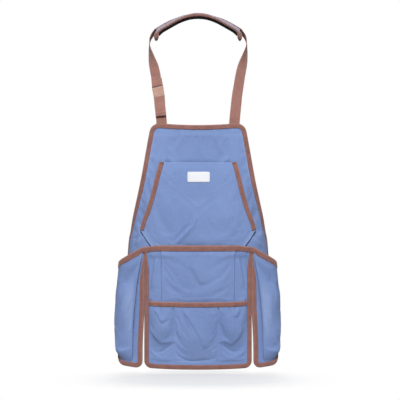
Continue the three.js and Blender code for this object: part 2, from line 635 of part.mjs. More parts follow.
// The slider stands square to the left strap at its own height
const leftFrames = strapFrames(-1);
let sliderAt = 0;
while (leftFrames(sliderAt).point.z > slider.height) sliderAt += 0.0005;
const sliderFrame = { ...leftFrames(sliderAt), cut: 0 };
const sliderHalf = slider.plate / 2 + slider.slot + slider.bar;
const sliderShape = new THREE.Shape();
sliderShape.moveTo(-slider.wide / 2, -sliderHalf);
sliderShape.lineTo(slider.wide / 2, -sliderHalf);
sliderShape.lineTo(slider.wide / 2, sliderHalf);
sliderShape.lineTo(-slider.wide / 2, sliderHalf);
for (const sign of [-1, 1]) {
  const near = sign * (slider.plate / 2);
  const far = sign * (slider.plate / 2 + slider.slot);
  const reach = slider.wide / 2 - slider.side;
  const hole = new THREE.Path();
  hole.moveTo(-reach, near);
  hole.lineTo(reach, near);
  hole.lineTo(reach, far);
  hole.lineTo(-reach, far);
  sliderShape.holes.push(hole);
}
const sliderPlate = new THREE.ExtrudeGeometry(sliderShape, { depth: slider.thick, bevelEnabled: false });
sliderPlate.translate(0, 0, -slider.thick / 2);
const sliderUp = sliderFrame.normal.clone().cross(sliderFrame.width);
const sliderTurn = new THREE.Matrix4().makeBasis(sliderFrame.width, sliderUp, sliderFrame.normal);
sliderPlate.applyMatrix4(sliderTurn.setPosition(sliderFrame.point));
addPiece("strap_slider", sliderPlate, sliderTan);

// Loops round the slider's bars: the webbing's middle line as distance down the strap and lift
const barMiddle = slider.plate / 2 + slider.slot + slider.bar / 2;
const layer = slider.thick / 2 + loopRoom + webbing.thick / 2;
const loopReach = slider.bar / 2 + loopRoom + webbing.thick / 2;
const loopTurns = [0, 0.125, 0.25, 0.375, 0.5, 0.625, 0.75, 0.875, 1];

// sense 1 comes down in front of the bar and goes up behind, -1 comes up behind and goes down in front
function loopRings(bar, sense) {
  return loopTurns.map((turn) => {
    const angle = Math.PI * turn;
    const fall = bar + sense * loopReach * Math.sin(angle);
    return webRing(sliderFrame, -1, sense * layer * Math.cos(angle), fall, angle);
  });
}

const frameAway = (distance) => {
  const length = leftFrames(0.5).point.distanceTo(leftFrames(0.501).point) * 1000;
  return leftFrames(sliderAt + distance / length);
};

// Upper webbing comes down in front of the top bar, round it and up again behind
const upperStart = strapSteps(0, sliderAt - 0.115, 22).map((t) => webRing(leftFrames(t), -1));
const upperDown = [-32, -26, -20].map((d, k) => webRing({ ...frameAway(d), cut: 0 }, -1, layer * [0.5, 0.85, 1][k]));
const upperUp = [-20, -topLoop, -topLoop - 8].map((d) => webRing({ ...frameAway(d), cut: 0 }, -1, -layer, 0, Math.PI));
const upperLoop = loopRings(-barMiddle, 1);
addPiece("neck_strap_left", sweep([...upperStart, ...upperDown, ...upperLoop, ...upperUp], webOutline), webbingBrown);

// Lower webbing comes up behind the bottom bar, over it and hangs in front as a hemmed tail
const lowerStart = strapSteps(1, sliderAt + 0.14, 16).map((t) => webRing({ ...leftFrames(t), cut: 0 }, -1));
const lowerUp = [32, 26, 20].map((d, k) => webRing({ ...frameAway(d), cut: 0 }, -1, -layer * [0.5, 0.85, 1][k]));
const lowerLoop = loopRings(barMiddle, -1);
const tail = [20, 36, tailLength - tailHem, tailLength - tailHem + 0.6, tailLength].map((d, k) => {
  const hemmed = k > 2;
  return webRing({ ...frameAway(d), cut: 0 }, -1, layer + (hemmed ? 0.9 : 0), 0, Math.PI, hemmed ? 2 : 1);
});
addPiece("adjuster_strap", sweep([...lowerStart, ...lowerUp, ...lowerLoop, ...tail], webOutline), webbingBrown);

export default apron;
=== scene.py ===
import math
import random

import bmesh
import bpy
import numpy as np
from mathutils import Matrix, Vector


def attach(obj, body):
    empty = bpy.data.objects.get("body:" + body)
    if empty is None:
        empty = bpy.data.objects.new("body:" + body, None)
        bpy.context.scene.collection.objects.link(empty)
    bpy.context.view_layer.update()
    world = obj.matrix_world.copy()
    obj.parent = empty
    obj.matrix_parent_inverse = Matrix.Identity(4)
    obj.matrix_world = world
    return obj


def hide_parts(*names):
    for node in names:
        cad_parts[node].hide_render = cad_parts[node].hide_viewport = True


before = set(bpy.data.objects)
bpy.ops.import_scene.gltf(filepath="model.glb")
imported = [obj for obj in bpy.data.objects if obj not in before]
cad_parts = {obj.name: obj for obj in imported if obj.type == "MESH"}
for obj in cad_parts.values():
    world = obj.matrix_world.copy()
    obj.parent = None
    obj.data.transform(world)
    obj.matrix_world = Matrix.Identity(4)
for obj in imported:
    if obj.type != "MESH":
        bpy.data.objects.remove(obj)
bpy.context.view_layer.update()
print("frame loaded,", len(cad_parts), "nodes")

# lengths of the apron are in millimetres until a mesh is made; finishes and stage are in metres
mm = 0.001
handOf = {-1: "Left", 1: "Right"}  # as seen from the front


def smooth(t):
    t = np.clip(t, 0.0, 1.0)
    return t * t * (3 - 2 * t)


def mix(a, b, t):
    return a + (b - a) * t


def unit(v):
    return v / np.maximum(np.linalg.norm(v, axis=-1, keepdims=True), 1e-9)


def bump(t):
    return np.exp(-np.square(t))


# smooth curve through a short list of values
def throughPoints(places, values):
    xs, ys = np.array(places, float), np.array(values, float)
    if xs[0] > xs[-1]:
        xs, ys = xs[::-1], ys[::-1]
    before, after = np.maximum(np.arange(len(xs)) - 1, 0), np.minimum(np.arange(len(xs)) + 1, len(xs) - 1)
    slopes = (ys[after] - ys[before]) / (xs[after] - xs[before])

    def read(value):
        value = np.asarray(value, float)
        k = np.clip(np.searchsorted(xs, value) - 1, 0, len(xs) - 2)
        width = xs[k + 1] - xs[k]
        t = np.clip((value - xs[k]) / width, 0, 1)
        level = ys[k] * (1 + 2 * t) * (1 - t) ** 2 + ys[k + 1] * t * t * (3 - 2 * t)
        return level + width * (slopes[k] * t * (1 - t) ** 2 - slopes[k + 1] * t * t * (1 - t))

    return read


# uneven wave along a line, about -1 to 1
def waver(along, length, seed):
    draw = random.Random(seed)
    total = 0
    for rate, size in ((1, 1), (2.3, 0.6), (4.1, 0.35)):
        total = total + size * np.sin(np.asarray(along) * rate * 2 * math.pi / length + draw.uniform(0, 6.28))
    return total / 1.95  # the three sizes together


# soft unevenness over a flat piece, about -1 to 1
def unevenness(u, v, size, seed, count=12):
    draw = random.Random(seed)
    total = 0
    for _ in range(count):
        angle, reach, start = draw.uniform(0, math.pi), size * draw.uniform(0.6, 1.7), draw.uniform(0, 6.28)
        along = (u * math.cos(angle) + v * math.sin(angle)) * 2 * math.pi / reach
        cross = (v * math.cos(angle) - u * math.sin(angle)) * 2 * math.pi / (reach * 2.3)
        total = total + np.sin(along + start + 0.9 * np.sin(cross + start * 3))
    return total / (count ** 0.5 * 1.3)


# distance from a drawn line, positive on its left, and the share of the line passed
def lineDistance(x, z, path):
    best, turn, share = np.full(x.shape, 1e9), np.zeros(x.shape), np.zeros(x.shape)
    legs = [math.dist(a, b) for a, b in zip(path, path[1:])]
    start = 0
    for (ax, az), (bx, bz), leg in zip(path, path[1:], legs):
        ux, uz = (bx - ax) / leg, (bz - az) / leg
        t = np.clip((x - ax) * ux + (z - az) * uz, 0, leg)
        away = np.hypot(x - ax - ux * t, z - az - uz * t)
        near = away < best
        best = np.where(near, away, best)
        turn = np.where(near, np.sign(ux * (z - az) - uz * (x - ax)), turn)
        share = np.where(near, (start + t) / sum(legs), share)
        start += leg
    return best * turn, share


foldMake = {"fade": 0.22, "steep": 0.5, "dip": 0.4, "dipAway": 1.7, "dipWide": 0.6}


# folds drawn on the cloth: soft on the left of their line, steep on its right
def foldLift(x, z, folds):
    lift = np.zeros(x.shape)
    for fold in folds:
        away, share = lineDistance(x, z, fold["line"])
        ends = smooth(share / foldMake["fade"]) * smooth((1 - share) / foldMake["fade"])
        soft, hard = fold["wide"], fold["wide"] * fold.get("steep", foldMake["steep"])
        ridge = np.where(away > 0, bump(away / soft), bump(away / hard))
        dip = bump((away + hard * foldMake["dipAway"]) / (fold["wide"] * foldMake["dipWide"]))
        lift += fold["tall"] * ends * (ridge - fold.get("dip", foldMake["dip"]) * dip)
    return lift


# finishes


def linear(red, green, blue):
    def one(c):
        c = c / 255
        return c / 12.92 if c <= 0.04045 else ((c + 0.055) / 1.055) ** 2.4

    return (one(red), one(green), one(blue), 1.0)


def addNode(tree, kind, inputs=None, **settings):
    node = tree.nodes.new(kind)
    for key, value in settings.items():
        setattr(node, key, value)
    for key, value in (inputs or {}).items():
        if isinstance(value, bpy.types.NodeSocket):
            tree.links.new(value, node.inputs[key])
        else:
            node.inputs[key].default_value = value
    return node


def sumOf(tree, operation, first, second=0.0):
    return addNode(tree, "ShaderNodeMath", {0: first, 1: second}, operation=operation).outputs[0]


def tint(tree, share, first, second, how="MIX"):
    inputs = {0: share, 6: first, 7: second}
    return addNode(tree, "ShaderNodeMix", inputs, data_type="RGBA", blend_type=how).outputs[2]


def spread(tree, value, low, high, toLow=0.0, toHigh=1.0):
    return addNode(tree, "ShaderNodeMapRange", {0: value, 1: low, 2: high, 3: toLow, 4: toHigh}).outputs[0]


def speckle(tree, vector, scale, detail=2.0, roughness=0.5):
    inputs = {"Vector": vector, "Scale": scale, "Detail": detail, "Roughness": roughness}
    return addNode(tree, "ShaderNodeTexNoise", inputs).outputs[0]


def stretched(tree, vector, scale):
    return addNode(tree, "ShaderNodeVectorMath", {0: vector, 1: scale}, operation="MULTIPLY").outputs[0]


def placeOn(tree):
    return addNode(tree, "ShaderNodeTexCoord").outputs["Object"]


def setRelief(tree, shader, strength, distance, height):
    inputs = {"Strength": strength, "Distance": distance, "Height": height}
    relief = addNode(tree, "ShaderNodeBump", inputs)
    tree.links.new(relief.outputs[0], shader.inputs["Normal"])


def newFinish(name):
    finish = bpy.data.materials.new(name)
    finish.use_nodes = True
    tree = finish.node_tree
    return finish, tree, tree.nodes["Principled BSDF"]


# how the yarns of every cloth are drawn; a cloth's own look may say otherwise
yarnMake = {
    "warp": (1100, 45, 1), "weft": (45, 1100, 1), "ribWeft": 0.75, "ribWarp": 0.25, "roughEase": 0.05,
    "cloud": 9.0, "grain": 420.0, "heather": 0.35, "mottle": 0.2, "pits": 0.18,
    "relief": 0.35, "deepness": 0.0004, "sheen": 0.15, "gloss": 0.2,
}


# cloth woven from two sets of yarns; the flat pattern is kept in clothMap, in metres
def wovenFinish(name, look):
    look = {**yarnMake, **look}
    finish, tree, shader = newFinish(name)
    flat = addNode(tree, "ShaderNodeUVMap", uv_map="clothMap").outputs[0]
    place = placeOn(tree)
    parts = addNode(tree, "ShaderNodeSeparateXYZ", {0: flat}).outputs
    turn = 2 * math.pi / mm
    warp = sumOf(tree, "SINE", sumOf(tree, "MULTIPLY", parts[0], turn / look["pitch"][0]))
    weft = sumOf(tree, "SINE", sumOf(tree, "MULTIPLY", parts[1], turn / look["pitch"][1]))
    if look.get("rib"):
        ribs = sumOf(tree, "MULTIPLY", weft, look["ribWeft"])
        weave = sumOf(tree, "ADD", ribs, sumOf(tree, "MULTIPLY", warp, look["ribWarp"]))
    else:
        weave = sumOf(tree, "MULTIPLY", warp, weft)
    # uneven yarns, long one way and thin the other
    warpYarn, weftYarn = stretched(tree, flat, look["warp"]), stretched(tree, flat, look["weft"])
    slub = sumOf(tree, "ADD", speckle(tree, warpYarn, 1.0, 1.0), speckle(tree, weftYarn, 1.0, 1.0))
    slub = sumOf(tree, "MULTIPLY", slub, 0.5)
    cloud = speckle(tree, place, look["cloud"], 4.0, 0.6)
    grain = speckle(tree, place, look["grain"], 2.0, 0.7)
    colour = tint(tree, spread(tree, cloud, 0.32, 0.68), look["deep"], look["colour"])
    colour = tint(tree, spread(tree, slub, 0.42, 0.66, 0.0, look["heather"]), colour, look["pale"])
    colour = tint(tree, spread(tree, grain, 0.4, 0.75, 0.0, look["mottle"]), colour, look["deep"])
    # darker in the low places of the weave: painted shade in its hollows
    pits = spread(tree, weave, -1.0, 0.2, look["pits"], 0.0)
    colour = tint(tree, pits, colour, look["deep"], "MULTIPLY")
    # paler where the wear attribute is set: wear on edges and tape turns, painted highlight on fold edges,
    # painted sheen on the side pockets
    worn = addNode(tree, "ShaderNodeAttribute", attribute_name="wearAndHighlight").outputs["Fac"]
    worn = sumOf(tree, "MULTIPLY", worn, spread(tree, grain, 0.3, 0.7, 0.35, 1.0))
    colour = tint(tree, worn, colour, look["worn"])
    tree.links.new(colour, shader.inputs["Base Color"])
    smoother, rougher = look["rough"] - look["roughEase"], look["rough"] + look["roughEase"]
    tree.links.new(spread(tree, cloud, 0.3, 0.7, smoother, rougher), shader.inputs["Roughness"])
    height = sumOf(tree, "ADD", sumOf(tree, "MULTIPLY", weave, 0.5), sumOf(tree, "MULTIPLY", slub, 0.9))
    setRelief(tree, shader, look["relief"], look["deepness"], height)
    shader.inputs["Sheen Weight"].default_value = look["sheen"]
    shader.inputs["Sheen Roughness"].default_value = 0.5
    shader.inputs["Specular IOR Level"].default_value = look["gloss"]
    return finish


# the canvas's worn colour also serves as painted highlight on fold edges and painted sheen on the side
# pockets
blueCanvas = wovenFinish("blueCanvas", {
    "colour": linear(118, 140, 187), "deep": linear(108, 130, 178), "pale": linear(135, 156, 198),
    "worn": linear(156, 174, 210), "pitch": (0.9, 0.8), "rough": 0.8, "sheen": 0.03, "gloss": 0.22,
})
brownTape = wovenFinish("brownTape", {
    "colour": linear(142, 100, 92), "deep": linear(118, 80, 74), "pale": linear(164, 120, 109),
    "worn": linear(178, 138, 126), "pitch": (0.8, 1.5), "rib": True, "rough": 0.9, "cloud": 60.0,
    "grain": 700.0, "mottle": 0.5, "heather": 0.5, "relief": 0.5, "deepness": 0.0005,
})
brownWebbing = wovenFinish("brownWebbing", {
    "colour": linear(164, 119, 109), "deep": linear(145, 103, 94), "pale": linear(184, 140, 127),
    "worn": linear(196, 158, 145), "pitch": (2.6, 1.7), "rough": 0.82, "cloud": 40.0,
    "grain": 600.0, "mottle": 0.3, "heather": 0.3, "relief": 0.6, "deepness": 0.0007, "pits": 0.35,
})
padCloth = wovenFinish("padCloth", {
    "colour": linear(150, 141, 156), "deep": linear(132, 123, 138), "pale": linear(168, 160, 174),
    "worn": linear(184, 178, 188), "pitch": (1.6, 1.6), "rough": 0.92,
    "mottle": 0.25, "pits": 0.3, "relief": 0.4,
})
labelCloth = wovenFinish("labelCloth", {
    "colour": linear(222, 223, 226), "deep": linear(208, 210, 215), "pale": linear(232, 232, 234),
    "worn": linear(232, 232, 234), "pitch": (0.4, 0.5), "rough": 0.7, "gloss": 0.35, "mottle": 0.1,
})


def foamFinish():
    finish, tree, shader = newFinish("blackFoam")
    pores = speckle(tree, placeOn(tree), 900.0, 3.0, 0.7)
    colour = tint(tree, spread(tree, pores, 0.35, 0.7), linear(10, 8, 9), linear(30, 27, 29))
    tree.links.new(colour, shader.inputs["Base Color"])
    setRelief(tree, shader, 0.5, 0.0005, pores)
    shader.inputs["Roughness"].default_value = 0.95
    shader.inputs["Specular IOR Level"].default_value = 0.15
    return finish


def threadFinish(name, light, dark):
    finish, tree, shader = newFinish(name)
    twist = speckle(tree, placeOn(tree), 1500.0, 1.0)
    tree.links.new(tint(tree, spread(tree, twist, 0.35, 0.65), dark, light), shader.inputs["Base Color"])
    shader.inputs["Roughness"].default_value = 0.6
    shader.inputs["Sheen Weight"].default_value = 0.1
    return finish


def sliderFinish():
    finish, tree, shader = newFinish("tanPlastic")
    place = placeOn(tree)
    grain = speckle(tree, place, 800.0, 3.0, 0.6)
    cloud = speckle(tree, place, 60.0, 2.0)
    colour = tint(tree, spread(tree, cloud, 0.3, 0.7), linear(168, 128, 112), linear(181, 142, 126))
    tree.links.new(colour, shader.inputs["Base Color"])
    tree.links.new(spread(tree, grain, 0.3, 0.7, 0.42, 0.56), shader.inputs["Roughness"])
    setRelief(tree, shader, 0.15, 0.0002, grain)
    return finish


blackFoam = foamFinish()
blueThread = threadFinish("blueThread", linear(140, 161, 206), linear(112, 133, 184))
brownThread = threadFinish("brownThread", linear(178, 134, 120), linear(140, 97, 88))
darkThread = threadFinish("darkThread", linear(78, 70, 92), linear(52, 48, 70))
whiteThread = threadFinish("whiteThread", linear(240, 240, 240), linear(214, 215, 220))
tanPlastic = sliderFinish()
print("finishes made")


# mesh makers


def makePiece(name, points, faces, finish, flat=None, wearAndHighlight=None):
    points = np.asarray(points, float)
    mesh = bpy.data.meshes.new(name)
    mesh.from_pydata((points * mm).tolist(), [], [list(map(int, face)) for face in faces])
    mesh.materials.append(finish)
    corner = np.zeros(len(mesh.loops), np.int32)
    mesh.loops.foreach_get("vertex_index", corner)
    if flat is not None:
        layer = mesh.uv_layers.new(name="clothMap")
        layer.data.foreach_set("uv", (np.asarray(flat, float) * mm)[corner].astype(np.float32).ravel())
    # per-point paleness of the cloth: wear, and painted highlight and sheen
    worn = mesh.attributes.new("wearAndHighlight", "FLOAT", "POINT")
    wearAndHighlight = np.zeros(len(points)) if wearAndHighlight is None else wearAndHighlight
    worn.data.foreach_set("value", np.asarray(wearAndHighlight, np.float32))
    mesh.polygons.foreach_set("use_smooth", [True] * len(mesh.polygons))
    mesh.update()
    work = bmesh.new()
    work.from_mesh(mesh)
    if work.calc_volume(signed=True) < 0:
        bmesh.ops.reverse_faces(work, faces=work.faces[:])
    work.to_mesh(mesh)
    work.free()
    piece = bpy.data.objects.new(name, mesh)
    bpy.context.scene.collection.objects.link(piece)
    return piece


# closed cloth from a grid of front points and a grid of back points
def clothSheet(name, front, back, flat, finish, keep=None, wearAndHighlight=None):
    rows, columns = front.shape[:2]
    count = rows * columns
    keep = np.ones((rows - 1, columns - 1), bool) if keep is None else keep
    index = np.arange(count).reshape(rows, columns)
    a, b, c, d = index[:-1, :-1], index[1:, :-1], index[1:, 1:], index[:-1, 1:]
    quads = np.stack([a, b, c, d], -1)[keep]
    faces = [quads, quads[:, ::-1] + count]
    around = np.pad(keep, 1)
    sides = [
        (a, d, around[:-2, 1:-1]), (b, a, around[1:-1, :-2]),
        (c, b, around[2:, 1:-1]), (d, c, around[1:-1, 2:]),
    ]
    for p, q, beside in sides:
        edge = keep & ~beside
        faces.append(np.stack([p[edge], q[edge], q[edge] + count, p[edge] + count], -1))
    faces = np.concatenate(faces)
    used, faces = np.unique(faces, return_inverse=True)
    faces = faces.reshape(-1, 4)
    points = np.concatenate([front.reshape(-1, 3), back.reshape(-1, 3)])[used]
    maps = np.tile(flat.reshape(-1, 2), (2, 1))[used]
    worn = None if wearAndHighlight is None else np.tile(wearAndHighlight.ravel(), 2)[used]
    return makePiece(name, points, faces, finish, maps, worn)


# closed cloth of even thickness round its middle surface, with a note of the size it is cut to
def clothRound(name, middle, flat, finish, keep=None, wearAndHighlight=None, extra=0.0, thick=1.2):
    normal = unit(np.cross(np.gradient(middle, axis=0), np.gradient(middle, axis=1)))
    if normal[..., 1].mean() > 0:
        normal = -normal
    half = normal * thick / 2
    front = middle + half + normal * np.broadcast_to(extra, middle.shape[:2])[..., None]
    return clothSheet(name, front, middle - half, flat, finish, keep, wearAndHighlight)


# solid swept through rings of points, closed at its ends or into a loop
def sweptPiece(name, rings, finish, flat, loop=False, wearAndHighlight=None):
    count, size = rings.shape[:2]
    index = np.arange(count * size).reshape(count, size)
    here = index if loop else index[:-1]
    there = np.roll(index, -1, 0) if loop else index[1:]
    faces = np.stack([here, np.roll(here, -1, 1), np.roll(there, -1, 1), there], -1).reshape(-1, 4).tolist()
    if not loop:
        faces += [index[0][::-1].tolist(), index[-1].tolist()]
    worn = None if wearAndHighlight is None else wearAndHighlight.ravel()
    return makePiece(name, rings.reshape(-1, 3), faces, finish, flat.reshape(-1, 2), worn)


settleMake = {
    "scale": 10.0, "frames": 20, "quality": 6, "mass": 0.4, "tension": 30, "shear": 12, "stiff": 0.4,
    "damping": 12, "air": 3,
}


# lets a grid of points settle as loose cloth: held is 1 where it is sewn and 0 where it is free,
# swell is the spare cloth, push the filling behind it, reach the furthest a point may go
def settle(name, grid, held, swell, weight, push, reach):
    rows, columns = grid.shape[:2]
    index = np.arange(rows * columns).reshape(rows, columns)
    quads = np.stack([index[:-1, :-1], index[1:, :-1], index[1:, 1:], index[:-1, 1:]], -1).reshape(-1, 4)
    scale = settleMake["scale"] * mm
    mesh = bpy.data.meshes.new(name + "Settling")
    mesh.from_pydata((grid.reshape(-1, 3) * scale).tolist(), [], quads.tolist())
    loose = bpy.data.objects.new(name + "Settling", mesh)
    scene = bpy.context.scene
    scene.collection.objects.link(loose)
    group = loose.vertex_groups.new(name="sewn")
    for k, share in enumerate(held.ravel()):
        group.add([k], float(share), "REPLACE")
    cloth = loose.modifiers.new("settle", "CLOTH")
    feel = cloth.settings
    feel.quality = settleMake["quality"]
    feel.mass = settleMake["mass"]
    feel.tension_stiffness = feel.compression_stiffness = settleMake["tension"]
    feel.shear_stiffness = settleMake["shear"]
    feel.bending_stiffness = settleMake["stiff"]
    feel.tension_damping = feel.compression_damping = settleMake["damping"]
    feel.air_damping = settleMake["air"]
    feel.vertex_group_mass = "sewn"
    feel.shrink_min = -swell
    feel.use_pressure = True
    feel.uniform_pressure_force = push
    feel.effector_weights.gravity = weight
    cloth.collision_settings.use_collision = False
    cloth.point_cache.frame_start = 1
    cloth.point_cache.frame_end = settleMake["frames"]
    for step in range(1, settleMake["frames"] + 1):
        scene.frame_set(step)
    shown = loose.evaluated_get(bpy.context.evaluated_depsgraph_get())
    settled = np.zeros(rows * columns * 3, np.float32)
    shown.data.vertices.foreach_get("co", settled)
    moved = settled.reshape(grid.shape).astype(float) / scale - grid
    bpy.data.objects.remove(loose)
    bpy.data.meshes.remove(mesh)
    scene.frame_set(1)
    away = np.linalg.norm(moved, axis=-1, keepdims=True)
    furthest, usual = round(float(away.max()), 1), round(float(np.median(away)), 2)
    print(name, "settled, furthest", furthest, "mm, middle", usual, "mm")
    return grid + moved * np.tanh(away / reach) * reach / np.maximum(away, 1e-6)


def lengthAlong(points):
    return np.concatenate([[0], np.cumsum(np.linalg.norm(np.diff(points, axis=0), axis=1))])


# length passed across each row of a grid, from its first column
def lengthAcross(grid):
    steps = np.linalg.norm(np.diff(grid, axis=1), axis=2)
    return np.concatenate([np.zeros((len(grid), 1)), np.cumsum(steps, 1)], 1)


# points of a line at some marks, where gone is the length passed at each of its points
def readAlong(marks, gone, points):
    return np.stack([np.interp(marks, gone, points[:, k]) for k in range(points.shape[1])], -1)


def evenly(points, step):
    points = np.asarray(points, float)
    gone = lengthAlong(points)
    return readAlong(np.linspace(0, gone[-1], max(2, int(round(gone[-1] / step)) + 1)), gone, points)


# the same line with its corners eased; the ends stay
def eased(points, reach):
    weights = np.hanning(2 * reach + 1)
    weights = weights / weights.sum()
    before, after = 2 * points[:1] - points[reach:0:-1], 2 * points[-1:] - points[-2:-reach - 2:-1]
    padded = np.concatenate([before, points, after])
    return np.stack([np.convolve(padded[:, k], weights, "valid") for k in range(points.shape[1])], -1)


stitchShape = {
    "long": 3.0, "gap": 1.0, "half": 0.42, "rise": 0.32, "sink": 0.35, "shoulder": 0.62, "look": 0.4,
}


# one row of stitches along a line of points with the cloth's normals
def stitchRow(points, normals, pitch=None):
    shape = stitchShape
    pitch = pitch or shape["long"] + shape["gap"]
    gone = lengthAlong(points)
    count = int(gone[-1] // pitch)
    if count < 1:
        return []
    middle = (np.arange(count) + 0.5) * gone[-1] / count
    at = readAlong(middle, gone, points)
    up = unit(readAlong(middle, gone, normals))
    ahead = readAlong(np.minimum(middle + shape["look"], gone[-1]), gone, points)
    behind = readAlong(np.maximum(middle - shape["look"], 0), gone, points)
    run = unit(ahead - behind)
    side = unit(np.cross(run, up))
    half = shape["long"] / 2
    rings = [at - run * half - up * shape["sink"]]
    for share in (-shape["shoulder"], shape["shoulder"]):
        middlePoint = at + run * half * share
        rings += [
            middlePoint + side * shape["half"], middlePoint + up * shape["rise"],
            middlePoint - side * shape["half"], middlePoint - up * shape["sink"],
        ]
    rings.append(at + run * half - up * shape["sink"])
    return [np.stack(rings, 1)]


stitchFaces = (
    [(0, 1 + (k + 1) % 4, 1 + k) for k in range(4)]
    + [(1 + k, 1 + (k + 1) % 4, 5 + (k + 1) % 4, 5 + k) for k in range(4)]
    + [(9, 5 + k, 5 + (k + 1) % 4) for k in range(4)]
)


def threadPiece(name, rows, finish):
    grains = np.concatenate(rows)
    faces = []
    for k in range(len(grains)):
        faces += [[v + k * 10 for v in face] for face in stitchFaces]
    return makePiece(name, grains.reshape(-1, 3), faces, finish)


# how the cloth hangs

bodyShape = {
    "heights": [-280, -342, -422, -477, -517, -550, -574, -606, -700, -800, -895],
    "half": [117, 128, 142, 154, 163, 169, 174, 177, 185, 194, 203],
    "turn": [8, 14, 22, 40, 56, 71, 80, 84, 79, 67, 52],
    "middle": [-64, -74, -84, -89, -92, -94, -95, -96, -95, -92, -88],
    "curl": 3, "cloth": 1.2, "seam": 0.3,
    "topRow": -281, "topDip": 4, "topCorner": 18, "waistRow": -602,
    "hemMiddle": -894, "hemSide": -890, "hemCorner": 16, "centreEdge": 132.5,
    "slitTop": 4.4, "slitBottom": 9, "slitFrom": -720, "slitOver": 130,
    "flapBottom": -892, "flapRise": 5, "flapInnerCorner": 16, "flapOuterCorner": 24,
    "strapAt": 92, "halfSteps": 24, "hangSteps": 16,
}
canvas, seam, centreEdge = bodyShape["cloth"], bodyShape["seam"], bodyShape["centreEdge"]
topRow, waistRow, strapAt = bodyShape["topRow"], bodyShape["waistRow"], bodyShape["strapAt"]
halfAt = throughPoints(bodyShape["heights"], bodyShape["half"])
turnDegrees = throughPoints(bodyShape["heights"], bodyShape["turn"])
middleAt = throughPoints(bodyShape["heights"], bodyShape["middle"])


def flatHalf(z):
    turn = np.radians(turnDegrees(z))
    count = bodyShape["halfSteps"]
    shares = ((np.arange(count) + 0.5) / count) ** bodyShape["curl"]
    return halfAt(z) / np.cos(turn[..., None] * shares).mean(-1)


topHalf = flatHalf(np.array(topRow - bodyShape["topCorner"], float))


# place on the hanging cloth: s across the flat cloth, z down, n out of its back face
def hang(s, z, n):
    s, z, n = (np.asarray(v, float) for v in np.broadcast_arrays(s, z, n))
    half, turn = flatHalf(z), np.radians(turnDegrees(z))
    reach, count = np.abs(s) / half, bodyShape["hangSteps"]
    angles = turn[..., None] * (reach[..., None] * (np.arange(count) + 0.5) / count) ** bodyShape["curl"]
    across, back = np.cos(angles).mean(-1) * np.abs(s), np.sin(angles).mean(-1) * np.abs(s)
    edge = turn * reach ** bodyShape["curl"]
    x = np.sign(s) * (across + n * np.sin(edge))
    return np.stack([x, middleAt(z) + back - n * np.cos(edge), z], -1)


def hangNormal(s, z):
    edge = np.radians(turnDegrees(z)) * (np.abs(s) / flatHalf(z)) ** bodyShape["curl"]
    return np.stack([np.sign(s) * np.sin(edge), -np.cos(edge), np.zeros_like(edge)], -1)


def slitWidth(z):
    opened = smooth((bodyShape["slitFrom"] - z) / bodyShape["slitOver"])
    return mix(bodyShape["slitTop"], bodyShape["slitBottom"], opened)


def sideEdge(z):
    return centreEdge + slitWidth(z)


def flapPlace(share, z):
    return mix(sideEdge(z), flatHalf(z), share)


def roundedBy(past, corner):
    return corner - np.sqrt(np.maximum(0, corner ** 2 - np.maximum(0, past) ** 2))


# how far the top of the bib dips between the straps
def topDip(s):
    return bodyShape["topDip"] * np.maximum(0, 1 - (s / strapAt) ** 2)


def bibTopEdge(s):
    corner = bodyShape["topCorner"]
    return topRow - topDip(s) - roundedBy(np.abs(s) - topHalf + corner, corner)


def centreBottom(s):
    corner = bodyShape["hemCorner"]
    hem = mix(bodyShape["hemMiddle"], bodyShape["hemSide"], (s / centreEdge) ** 2)
    return hem + roundedBy(np.abs(s) - centreEdge + corner, corner)


def flapBottomAt(share):
    low = np.array(bodyShape["flapBottom"], float)
    span = flatHalf(low) - sideEdge(low)
    inner, outer = bodyShape["flapInnerCorner"], bodyShape["flapOuterCorner"]
    inside, outside = roundedBy(inner - share * span, inner), roundedBy(outer - (1 - share) * span, outer)
    return low + bodyShape["flapRise"] * share + inside + outside


# flat place of a body point: row 0 to 1 is the bib, 1 to 2 the skirt; side 0 is the centre panel
def bodyFlat(row, side, place):
    waist = np.array(waistRow, float)
    atWaist = np.where(side == 0, place, side * flapPlace(place, waist))
    ratio = atWaist / flatHalf(waist)
    top = bibTopEdge(ratio * topHalf)
    centreFoot = centreBottom(np.clip(place, -centreEdge, centreEdge))
    bottom = np.where(side == 0, centreFoot, flapBottomAt(np.clip(place, 0, 1)))
    upper, lower = mix(top, waist, row), mix(waist, bottom, row - 1)
    z = np.where(row <= 1, upper, lower)
    skirt = np.where(side == 0, place, side * flapPlace(place, lower))
    return np.where(row <= 1, ratio * flatHalf(upper), skirt), z


# apron body

bodyMake = {
    "bibRows": 76, "skirtRows": 50, "centreColumns": 66, "flapColumns": 26,
    "strapRidge": 0.9, "strapFoot": -378, "strapHalf": 10, "facingRow": -307, "facingDip": 0.35,
    "waistSeam": -585, "uneven": 0.45, "pucker": 0.28, "tapeEdge": 12, "edgeWearAndHighlight": 0.25, "facingWorn": 0.2,
    "mouthDip": 3.4, "mouthTop": -371, "mouthFoot": -412, "mouthHalf": 84,
    "settle": {"swell": 0.012, "weight": 0.3, "push": 0.0, "reach": 3.5},
    "folds": [
        {"line": [(-36, -303), (-46, -322), (-58, -348)], "tall": 2.3, "wide": 9},
        {"line": [(-108, -420), (-122, -470), (-134, -520)], "tall": 2.5, "wide": 10, "steep": 0.8},
        {"line": [(112, -418), (125, -470), (138, -525)], "tall": 2.5, "wide": 10, "steep": 0.8},
        {"line": [(-128, -548), (-142, -566), (-165, -585)], "tall": 2.9, "wide": 9},
        {"line": [(168, -590), (146, -570), (130, -552)], "tall": 2.9, "wide": 9},
        {"line": [(40, -300), (52, -330), (58, -362)], "tall": 1.4, "wide": 11},
    ],
}


